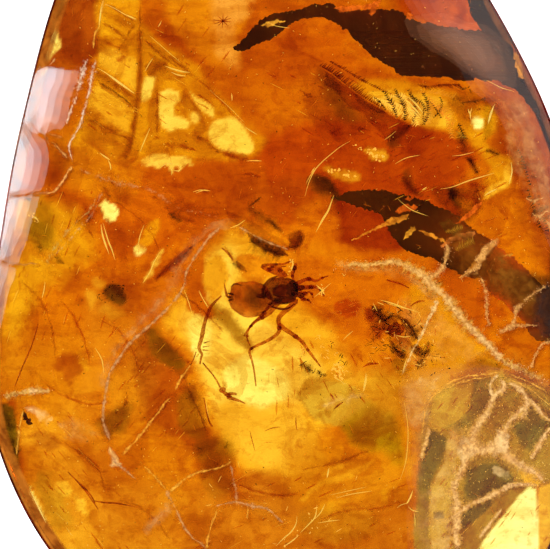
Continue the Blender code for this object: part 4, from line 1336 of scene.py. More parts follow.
# %% Brown seams and painted shadows
BROWN = (0.6, 0.36, 0.12)
RUSSET = (0.62, 0.25, 0.08)
INK = (0.2, 0.12, 0.06)
SEAMS_AND_SHADOWS = [
    # tint, widths in hundredths of a millimetre, height, cover, path
    (BROWN, (3, 5, 14, 22, 24, 18, 8), 3.3, 1.0, trace("-600,1030 0,-112 0,-176 -8,-80 -8,-84 -17,-116"
        " -23,-64")),
    (BROWN, (22, 28, 26, 18), 3.2, 1.0, trace("-780,746 48,-32 52,-36 60,-40")),
    (INK, (3, 6, 5, 6, 4), 3.5, 0.9, trace("-764,698 36,-20 40,-28 35,-24 23,-24")),
    (RUSSET, (12, 18, 12, 5), 3.4, 0.9, trace("-768,874 32,-16 40,-16 20,-8")),
    (BROWN, (5, 7, 6), 3.6, 1.0, trace("-620,934 -28,-44 -36,-56")),
    (RUSSET, (5, 18, 18, 5), 3.7, 0.9, trace("-692,784 10,8 12,8 12,8")),
    (BROWN, (10, 40, 50, 40, 12), 3.4, 1.0, trace("-564,722 16,20 16,16 16,12 28,12")),
    (BROWN, (6, 9, 9, 7), 3.6, 1.0, trace("-533,678 3,-88 -2,-96")),
    (BROWN, (5, 7, 5), 3.6, 1.0, trace("-736,1018 56,-36 60,-40")),
    (BROWN, (5, 7, 5), 3.6, 0.9, trace("-744,942 40,-28 52,-40")),
    (RUSSET, (8, 30, 34, 28, 8), 3.7, 1.0, trace("-284,434 28,-16 28,-12 32,-8 32,-4")),
    (RUSSET, (10, 22, 18, 10), 3.5, 0.9, trace("-504,454 36,-8 44,-4 48,-12")),
    (RUSSET, (4, 7, 5), 3.8, 0.8, trace("-368,654 32,-24 40,-28")),
    (BROWN, (10, 14, 12, 8), 3.6, 0.9, trace("-372,486 36,-24 32,-28 32,-16")),
    (BROWN, (10, 16, 14, 8), 3.3, 0.9, trace("-816,558 72,-36 64,-36 48,-12")),
    (BROWN, (5, 8, 8, 5), 3.5, 0.9, trace("-488,806 40,-28 40,-36 16,-24")),
    (BROWN, (5, 8, 8, 5), 3.5, 0.9, trace("-576,870 40,-40 48,-44 40,-28")),
    (RUSSET, (5, 9, 7, 5), 3.6, 0.8, trace("-376,718 64,-56 64,-64 56,-64")),
    (RUSSET, (6, 12, 9, 5), 4.6, 0.8, trace("-188,334 36,0 40,-12")),
    (BROWN, (6, 16, 22, 14, 6), 3.7, 0.9, trace("-532,-86 44,44 48,40 40,36 20,20")),
    (BROWN, (5, 9, 9, 6), 3.6, 0.9, trace("-456,-130 56,-40 64,-56 72,-72")),
    (BROWN, (5, 7, 6, 5), 3.6, 0.8, trace("-712,230 88,-56 64,-72 40,-72")),
    (RUSSET, (6, 8, 7, 5), 3.6, 0.8, trace("-920,-170 56,-72 40,-88 24,-96")),
    (BROWN, (5, 9, 7, 5), 3.6, 0.8, trace("-1080,-90 80,-80 48,-120 16,-120")),
    (RUSSET, (6, 10, 8, 5), 3.6, 0.8, trace("-760,-250 72,-40 56,-80 32,-88")),
    (BROWN, (6, 9, 8, 5), 3.6, 0.9, trace("-432,-474 32,-64 40,-88 32,-80")),
    (RUSSET, (5, 9, 8, 6), 3.6, 0.8, trace("-1000,-490 96,-64 96,-32 88,8")),
    (BROWN, (5, 9, 8, 6), 3.6, 0.8, trace("-920,-730 80,-48 72,-72 32,-88")),
    (BROWN, (6, 10, 8, 6), 3.6, 0.8, trace("-680,-970 80,-32 72,-56 48,-72")),
    (RUSSET, (5, 9, 8, 6), 3.6, 0.8, trace("-216,-906 96,-32 88,-16 72,16")),
    (BROWN, (6, 8, 10, 6), 3.6, 0.8, trace("40,-850 120,24 104,32 64,32")),
    (RUSSET, (6, 10, 8, 6), 3.6, 0.8, trace("120,-1050 120,40 120,8 88,32")),
    # the crushed bug
    (INK, (16, 44, 60, 52, 20), 5.0, 0.95, trace("328,-198 20,-16 16,-16 16,-16 20,-12")),
    (INK, (6, 18, 20, 8), 5.1, 0.9, trace("380,-254 20,16 28,0 32,-16")),
    (INK, (10, 34, 40, 16), 5.1, 0.95, trace("452,-246 20,-24 20,-24 20,-36")),
    (INK, (12, 34, 40, 18), 5.0, 0.95, trace("412,-342 12,-28 20,-20 24,-12")),
    (INK, (8, 28, 24, 8), 5.0, 0.95, trace("496,-346 16,-20 12,-16 24,-4")),
    (INK, (8, 22, 22, 8), 5.0, 0.95, trace("536,-386 12,16 4,20 4,16")),
    (INK, (6, 26, 22), 5.0, 0.95, trace("500,-434 16,12 16,16")),
    (RUSSET, (8, 30, 26, 10), 4.9, 0.9, trace("296,-202 16,-16 16,-24 -8,-16")),
    (BROWN, (10, 40, 44, 12), 4.8, 0.9, trace("400,-346 24,16 32,-4 32,-12")),
    (INK, (8, 26, 30, 10), 5.0, 0.95, trace("40,-426 16,-8 20,-12 20,-8")),
    (INK, (6, 20, 18, 6), 5.0, 0.95, trace("104,-462 16,-4 16,-4 12,-4")),
    # black bits at the upper right
    (INK, (10, 34, 40, 36, 12), 4.7, 0.95, trace("672,494 12,-20 8,-20 4,-20 -4,-20")),
    (INK, (8, 24, 30, 24, 8), 4.6, 0.95, trace("704,406 16,-16 12,-20 8,-20 12,-20")),
    (INK, (6, 18, 16, 6), 4.6, 0.95, trace("780,426 20,0 20,-8 20,-8")),
    # brown smudges over the middle flake, and dark marks by the right rim
    (RUSSET, (20, 60, 70, 40, 12), 4.2, 0.9, trace("648,246 40,8 40,-16 24,-32 -16,-40")),
    (RUSSET, (12, 40, 50, 40, 12), 4.2, 0.9, trace("704,294 32,0 28,-8 12,-24 -16,-24")),
    (BROWN, (8, 16, 14, 8), 4.2, 0.8, trace("616,206 24,32 16,32 -8,24")),
    (RUSSET, (10, 26, 30, 12), 4.2, 0.8, trace("448,326 24,-32 16,-24 32,-24")),
    (INK, (6, 24, 14), 4.2, 0.6, trace("924,358 16,8 16,16")),
    (INK, (4, 12, 8), 4.2, 0.6, trace("956,326 16,-4 16,0")),
    (INK, (4, 14, 18, 6), 4.2, 0.7, trace("956,230 16,4 16,4 16,8")),
    (INK, (8, 26, 30, 16, 4), 4.2, 0.75, trace("960,162 16,16 20,12 24,8 24,8")),
    (INK, (4, 12, 10, 4), 4.2, 0.6, trace("992,146 16,8 16,4 16,8")),
    (INK, (8, 20, 22, 10), 4.2, 0.6, trace("996,130 16,-16 12,-20 12,-24")),
    (INK, (10, 34, 30, 8), 4.2, 0.7, trace("-1152,-610 24,-40 16,-80 8,-64")),
    # painted shadows above the spider, and a few dark marks to its left
    (INK, (10, 26, 30, 28, 24, 8), 4.6, 0.95, trace("-172,202 28,-16 32,-20 32,-24 28,-24 28,-20")),
    (INK, (6, 12, 12, 4), 4.6, 0.8, trace("-172,206 24,12 24,16 12,8")),
    (INK, (20, 60, 70, 46, 14), 4.4, 0.95, trace("-164,74 32,-20 36,-20 40,-16 40,-8")),
    (RUSSET, (16, 50, 60, 50, 20), 4.5, 0.9, trace("40,110 -4,-24 -8,-24 -16,-20 -28,-8")),
    (INK, (8, 22, 26, 20, 8), 4.7, 0.8, trace("44,90 -8,-24 -16,-20 -24,-8")),
    (INK, (8, 20, 22, 10), 4.5, 0.85, trace("-232,-22 12,-8 16,-8 16,-12")),
    (BROWN, (8, 12, 16, 10), 4.4, 0.9, trace("-264,46 16,-24 16,-24 20,-24")),
    (INK, (6, 22, 24, 8), 4.5, 0.85, trace("-488,178 20,-12 16,-12 20,-12")),
    (BROWN, (10, 26, 20, 10), 4.4, 0.8, trace("-504,206 32,-24 48,-24 48,-16")),
    (INK, (5, 14, 12, 4), 4.5, 0.85, trace("-944,2 16,-8 12,-8 12,-12")),
    (INK, (4, 8, 6), 4.5, 0.8, trace("-800,174 0,-16 -4,-20")),
    (BROWN, (14, 26, 20, 8), 4.3, 0.9, trace("-748,286 12,-20 8,-24 -4,-24")),
]
seams_and_shadows = Batch()
for number, (tint, widths, height, cover, path) in enumerate(SEAMS_AND_SHADOWS):
    widths = np.array(widths) / 100
    seams_and_shadows.ribbon(path, widths * 1.2 + 0.02, height, tint, cover, 0.06, 400 + 3 * number, 0.05)
    seams_and_shadows.ribbon(path, widths * 2.0 + 0.06, height - 0.08, tint, cover * 0.4, 0.1, 401 + 3 * number)
settle(seams_and_shadows.make("brown_seams_and_shadows", film_material("seam_and_shadow_film", 2600.0)))

# %% [markdown]
# Just inside the girdle the resin glows a deep orange, more on the left than on the right. It is a
# strip of soft frost that follows the outline all the way round and shines by itself: a painted glow.

# %% The rim's own glow
RIM_GLOWS = [
    # first angle, last angle, inner edge as a share of the way out, cover, tint
    (118, 250, 0.955, 0.9, (0.52, 0.15, 0.012)),
    (208, 244, 0.985, 0.8, (0.72, 0.26, 0.03)),
    (250, 330, 0.965, 0.6, (0.4, 0.13, 0.02)),
    (-30, 60, 0.975, 0.55, (0.3, 0.09, 0.02)),
    (60, 118, 0.965, 0.6, (0.4, 0.12, 0.01)),
]


def rim_strip(first, last, inner, outer=0.994):
    """A strip of the girdle's inside, from one angle to another in degrees round the crown."""
    turns = np.radians(np.arange(first, last + 0.5, 1.0))
    reach = np.interp(turns, spoke_angles, spoke_lengths, period=2 * math.pi)
    line = np.stack((np.cos(turns), np.sin(turns)), axis=-1) * reach[:, None]
    return np.concatenate((CROWN + line * outer, CROWN + line[::-1] * inner))


# a strip of painted glow just inside the girdle
rim = Batch()
for first, last, inner, cover, tint in RIM_GLOWS:
    rim.pane(rim_strip(first, last, inner), 3.86, tint, 0.1, cover)
settle(rim.make("rim_painted_glow", frost_glow_material("rim_painted_glow", 900.0, (0.3, 0.55), 0.7, 1.0, 0.1, 0.0)))

# %% [markdown]
# The spider lies belly down near the middle, about three millimetres long. Its parts are soft
# closed shapes: a rounded abdomen with a darker heart, the shield of its front body, jaws, eyes,
# palps and legs. Each leg is one rod along a bent path, thick near the body and thin at the tip,
# with dark knots at its knees. The skin is brown chitin that lets some light through, so it is
# part gloss, part translucent, part clear.

# %% Chitin
MOTTLE_LIGHT, MOTTLE_DARK = (1.3, 1.25, 1.2), (0.55, 0.45, 0.4)
CLEAR_LIGHT, CLEAR_DARK = (1.0, 0.72, 0.5), (0.7, 0.42, 0.25)
LIT_THROUGH = 0.4


def chitin_material(name, gloss=0.3, through_share=0.45, scale=2500.0):
    """Brown insect skin in the colour on the piece: glossy in front, and lit through from behind."""
    material, tree, output = new_material(name)
    tint, alpha = tint_on(tree)
    mottle = grain(tree, scale, 0.0, 1.0, 5.0, EVEN, 0.3, (0.38, 0.64))
    tone = times(tree, tint, between(tree, mottle, MOTTLE_LIGHT, MOTTLE_DARK))
    shell = add_node(tree, "BsdfPrincipled", {
        "Base Color": tone, "Roughness": gloss, "IOR": 1.6, "Specular IOR Level": 0.6,
    })
    back = add_node(tree, "BsdfTranslucent", {"Color": tone})
    skin = mixed(tree, LIT_THROUGH, shell.outputs[0], back.outputs[0])
    clear = add_node(tree, "BsdfTransparent", {"Color": between(tree, mottle, CLEAR_LIGHT, CLEAR_DARK)})
    thin = add_node(tree, "MapRange", {"Value": alpha, "To Min": 1.0, "To Max": through_share})
    surface = mixed(tree, thin.outputs["Result"], skin, clear.outputs[0])
    tree.links.new(surface, output.inputs["Surface"])
    return material


SHELL_BROWN = (0.42, 0.13, 0.02)
DARK_BROWN = (0.13, 0.035, 0.008)
LEG_BROWN = (0.45, 0.16, 0.02)
NEAR_BLACK = (0.02, 0.008, 0.004)
SPIDER_LEVEL = 5.0


def at(places, heights):
    """Seen places with heights: one height for each, or heights run evenly from first to last."""
    level = evenly(heights, np.linspace(0, 1, len(places)))
    return np.column_stack((places, SPIDER_LEVEL + level))

# %% The spider's body
ABDOMEN, ABDOMEN_REACH = np.array((-1.58, -1.62)), (0.83, 0.69)
HEART, HEART_REACH = np.array((-1.52, -1.58)), (0.26, 0.36)
SHELL_TINT = (0.42, 0.12, 0.012)


def lump(seen, lift):
    """The centre of a part of the body: a seen place, and how far it lies over the body's level."""
    return (*seen, SPIDER_LEVEL + lift)


body = Batch()
around = body.blob(lump((-1.6, -1.66), 0), (0.92, 0.73, 0.52), SHELL_BROWN, -6, 0.16, 3, (36, 22))
off_middle = (around[:, :2] - ABDOMEN) / ABDOMEN_REACH
off_heart = np.linalg.norm((around[:, :2] - HEART) / HEART_REACH, axis=1)
darkness = np.clip(1.5 - off_heart, 0, 1)
toward_waist = np.clip(off_middle[:, 0], 0, 1)
near_edge = np.linalg.norm(off_middle, axis=1) > 0.93
shell = body.tints[-1]
shell[:, :3] = np.outer(1 - 0.6 * darkness, SHELL_TINT)
shell[:, 3] = np.clip(0.3 + 0.5 * darkness + 0.5 * toward_waist + 0.12 * near_edge, 0, 1)
# the front shield, its shadow, its bright middle and the dark head
for seen, lift, radii, tint, turn, rough, seed, steps in (
    ((-0.32, -1.3), 0.05, (0.66, 0.54, 0.34), (0.42, 0.11, 0.014), 8, 0.14, 5, (30, 18)),
    ((-0.24, -1.7), -0.05, (0.5, 0.17, 0.2), (0.12, 0.035, 0.006), 10, 0.3, 5, (22, 12)),
    ((-0.36, -1.34), 0.24, (0.36, 0.26, 0.18), (0.7, 0.16, 0.016), 8, 0.2, 6, (20, 12)),
    ((0.08, -1.26), 0.12, (0.24, 0.32, 0.24), (0.04, 0.01, 0.005), 0, 0.25, 8, (18, 12)),
):
    body.blob(lump(seen, lift), radii, tint, turn, rough, seed, steps)
SHIELD_EDGE = trace("-104,-166 -4,32 12,28 20,20 28,12")
SHIELD_UNDER = trace("-88,-182 20,-16 32,-8 32,4 20,16")
body.tube(at(SHIELD_EDGE, (0.1, 0.2)), (0.03, 0.08, 0.07, 0.02), (0.24, 0.07, 0.01), 8)
body.tube(at(SHIELD_UNDER, (0.1, 0.15)), (0.03, 0.05, 0.03), (0.4, 0.13, 0.02), 8)
for jaw, turn, seed in (((0.4, -1.22), 10, 11), ((0.4, -1.5), -12, 12)):
    body.blob(lump(jaw, 0), (0.2, 0.12, 0.14), DARK_BROWN, turn, 0.1, seed, (12, 8))
EYES = trace("24,-118 0,-16 -8,28 0,-44 12,44 0,-40")
for eye_place, size in zip(EYES, (5, 5.5, 4.5, 4.5, 3, 3)):
    body.blob(lump(eye_place, 0.34), (size / 100,) * 3, NEAR_BLACK, steps=(10, 6))
for spinneret, turn in zip(trace("-236,-146 -4,-12 4,-12"), (165, 180, 195)):
    body.blob(lump(spinneret, -0.05), (0.13, 0.05, 0.06), DARK_BROWN, turn, steps=(10, 6))
WAIST = trace("-96,-150 -16,-4 -16,0")
TAIL_HAIR = trace("-236,-118 12,12 16,0 16,-8")
body.tube(at(WAIST, 0.0), (0.12, 0.1, 0.09), DARK_BROWN, 8)
body.tube(at(TAIL_HAIR, (0.35, 0.4)), (0.015, 0.04, 0.02), (0.1, 0.03, 0.008), 6)
settle(body.make("spider_body", chitin_material("spider_skin", 0.28, 0.5, 2200.0)))

# %% The spider's legs
LEG_PARTS = 78
LEGS = [
    # heights over the body's level, radii in parts of a millimetre, path from hip to claw
    ((0.05, 0.3, -0.1, -0.3), (9, 7, 6, 4, 3, 2), trace("-44,-178 -16,-16 -20,-26 -32,-20 -30,-18"
        " -23,-28 -7,-28 4,-20 8,-18")),
    ((0.0, 0.2, 0.1, -0.2), (7, 6, 5, 3, 2), trace("-52,-170 -28,-24 -24,-28 -28,-28 -24,-24 -16,-20"
        " -12,-20")),
    ((0.05, 0.4, 0.1, -0.2, -0.4), (9, 8, 6, 5, 4, 3, 2), trace("24,-174 -24,-24 -28,-24 -18,-24 4,-36"
        " -6,-20 -24,-20 -28,-16 -28,-12 -26,-14 -8,-14 8,-28 10,-44 8,-64")),
    ((0.0, 0.2, 0.1, -0.3), (8, 7, 6, 5, 4, 2), trace("-42,-270 26,-20 39,-26 29,-26 20,-28 24,-32"
        " 26,-34")),
    ((0.1, 0.3, 0.2, 0.0), (9, 7, 6, 4, 3), trace("28,-122 28,2 28,2 24,-2 16,-10 12,-24")),
    ((0.1, 0.3, 0.2, 0.0), (7, 6, 5, 3, 2), trace("24,-106 24,12 28,8 28,-8 24,12 24,8")),
    ((0.1, 0.35, 0.3, 0.2), (8, 7, 5, 4, 3), trace("-28,-74 -28,12 -28,12 -28,14 20,6 36,2 32,2 28,12")),
    ((0.1, 0.4, 0.3, 0.1), (6, 5, 4, 3, 2), trace("-16,-74 -12,16 -12,8 -24,4 -24,0 16,8 32,0 24,4")),
    ((0.25, 0.4, 0.3), (5, 6, 5, 3), trace("24,-26 -6,-16 -6,-16 -2,-16 6,-20")),
    ((0.0, 0.1, 0.0), (5, 4, 3, 2), trace("40,-138 20,-6 16,6 12,-8 4,-16")),
    ((0.0, 0.1, 0.0), (5, 4, 3, 2), trace("36,-154 16,-12 20,-4 12,-12")),
]
legs = Batch()
for heights, radii, path in LEGS:
    joints = at(path, heights)
    legs.tube(joints, [r / LEG_PARTS for r in radii], LEG_BROWN, 8, 0.08)
    for knee, size in ((joints[len(joints) // 3], 0.11), (joints[2 * len(joints) // 3], 0.07)):
        legs.blob(knee, (size, size * 0.9, size * 0.9), DARK_BROWN, 0, 0.2, 4, (10, 6))
settle(legs.make("spider_legs", chitin_material("leg_skin", 0.3, 0.8, 4000.0)))

# %% [markdown]
# Loose limbs lie about as well. The largest is a long brown leg with spines, from some larger
# insect, and by it lie a small fly's body with its bead of gas, hairs, slivers and the star-shaped
# hair of a leaf. They are rods and lumps like the spider's, in a batch of their own.

# %% The bristled leg, the small fly, the star hair and a crushed bug
loose = Batch()
SPINED_LEG = trace("-276,-154 -16,-16 -20,-20 -14,-28 -12,-32 -8,-32 -6,-32 -6,-24 -6,-20 4,-16 8,-14"
    " -4,-14 -4,-24")
SPINED_RADII = [r / 100 for r in (3, 5, 7, 8, 7, 9, 8, 7, 5, 3)]
loose.tube(at(SPINED_LEG, (0.2, 0.5, 0.3, 0.2)), SPINED_RADII, (0.3, 0.1, 0.012), 9, 0.08)
SPINES = [
    trace("-344,-342 24,8"),
    trace("-348,-358 28,4"),
    trace("-348,-370 24,-2"),
    trace("-360,-326 20,24"),
]
for spine in SPINES:
    loose.tube(at(spine, (0.25, 0.35)), (0.025, 0.008), DARK_BROWN, 6)
LIMBS = [
    # path, radii in hundredths of a millimetre
    (trace("-348,-422 16,-20 24,-28 16,-24 12,-24"), (3, 3, 4)),
    (trace("-256,-550 16,6 24,-2"), (4, 7, 5)),
    (trace("-248,-558 24,-8 24,-8 20,-10"), (8, 6, 2)),
    (trace("-272,-534 16,-12 16,-8"), (4, 9, 9)),
    (trace("-376,-378 -8,-24 -12,-24 -20,-24"), (3, 2, 2)),
    (trace("-264,-100 4,-22 8,-32"), (1, 4, 6)),
    (trace("-272,38 24,-20 20,-28"), (3, 5, 3)),
    (trace("388,-90 28,-8 28,-8 32,-16"), (3, 4, 2)),
    (trace("484,-194 16,12 20,8 20,0"), (2, 4, 2)),
    (trace("292,-438 24,12 36,2"), (2, 6, 3)),
    (trace("176,-606 16,14 20,14"), (2, 4, 2)),
    (trace("24,-638 0,-28 4,-24"), (1, 3, 1)),
    (trace("-160,-694 8,-36 12,-44"), (1, 2, 1)),
    (trace("-100,-694 28,12 32,4"), (1, 2, 1)),
    (trace("-1008,-266 -12,-48 -20,-56 -32,-72 -28,-72"), (2, 3, 2)),
    (trace("-888,-858 36,-36 40,-40 20,-24 12,-24"), (2, 3, 4, 2)),
    (trace("-780,-974 36,-6 56,-4 80,-16"), (2, 4, 3, 1)),
    (trace("-848,-902 32,-36 32,-44 16,-24"), (1, 3, 2)),
    (trace("-344,-562 8,-44 12,-48 12,-20"), (2, 3, 4)),
]
for path, radii in LIMBS:
    loose.tube(at(path, (0.1, 0.2)), [r / 100 for r in radii], LEG_BROWN, 7, 0.08)
STAR_HAIR = (-2.68, 9.46)
for arm in trace("-308,950 76,-8 -56,24 40,0 -40,-40 40,0 -20,48 -4,-56 -32,16 68,24"):
    loose.tube(at([STAR_HAIR, arm], (-0.2, -0.1)), (0.028, 0.01), DARK_BROWN, 5)
loose.blob(lump((-2.7, -5.3), 0.3), (0.14, 0.12, 0.1), (0.3, 0.13, 0.03), 20, 0.1, 2, (14, 9))
loose.blob(lump((4.22, -2.88), 0.1), (0.36, 0.27, 0.22), DARK_BROWN, 10, 0.4, 6, (24, 14))
settle(loose.make("loose_limbs", chitin_material("limb_skin", 0.35, 0.78, 3000.0)))

# %% [markdown]
# Where the resin cracked along flat planes it shows facets: bright polygons between darker bars, with
# edges as crisp as cut glass. The bars are thin clear panes in brown and olive tints. Panes of the same
# kind also paint shadows: under the spider's body and round the plank above it, and painted shade over
# its abdomen. Coloured leaves and slivers that lie on the bark flakes are plates of frost in their own
# tints, and they glow by themselves: painted light.

# %% Tinted panes, bars and painted shadows
BAR = (0.72, 0.52, 0.3)
TEA = (0.6, 0.36, 0.2)
SMOKE = (0.35, 0.2, 0.1)
UMBER = (0.3, 0.14, 0.05)
WINDOW = (0.78, 0.8, 1.0)
MOSS = (0.62, 0.6, 0.25)

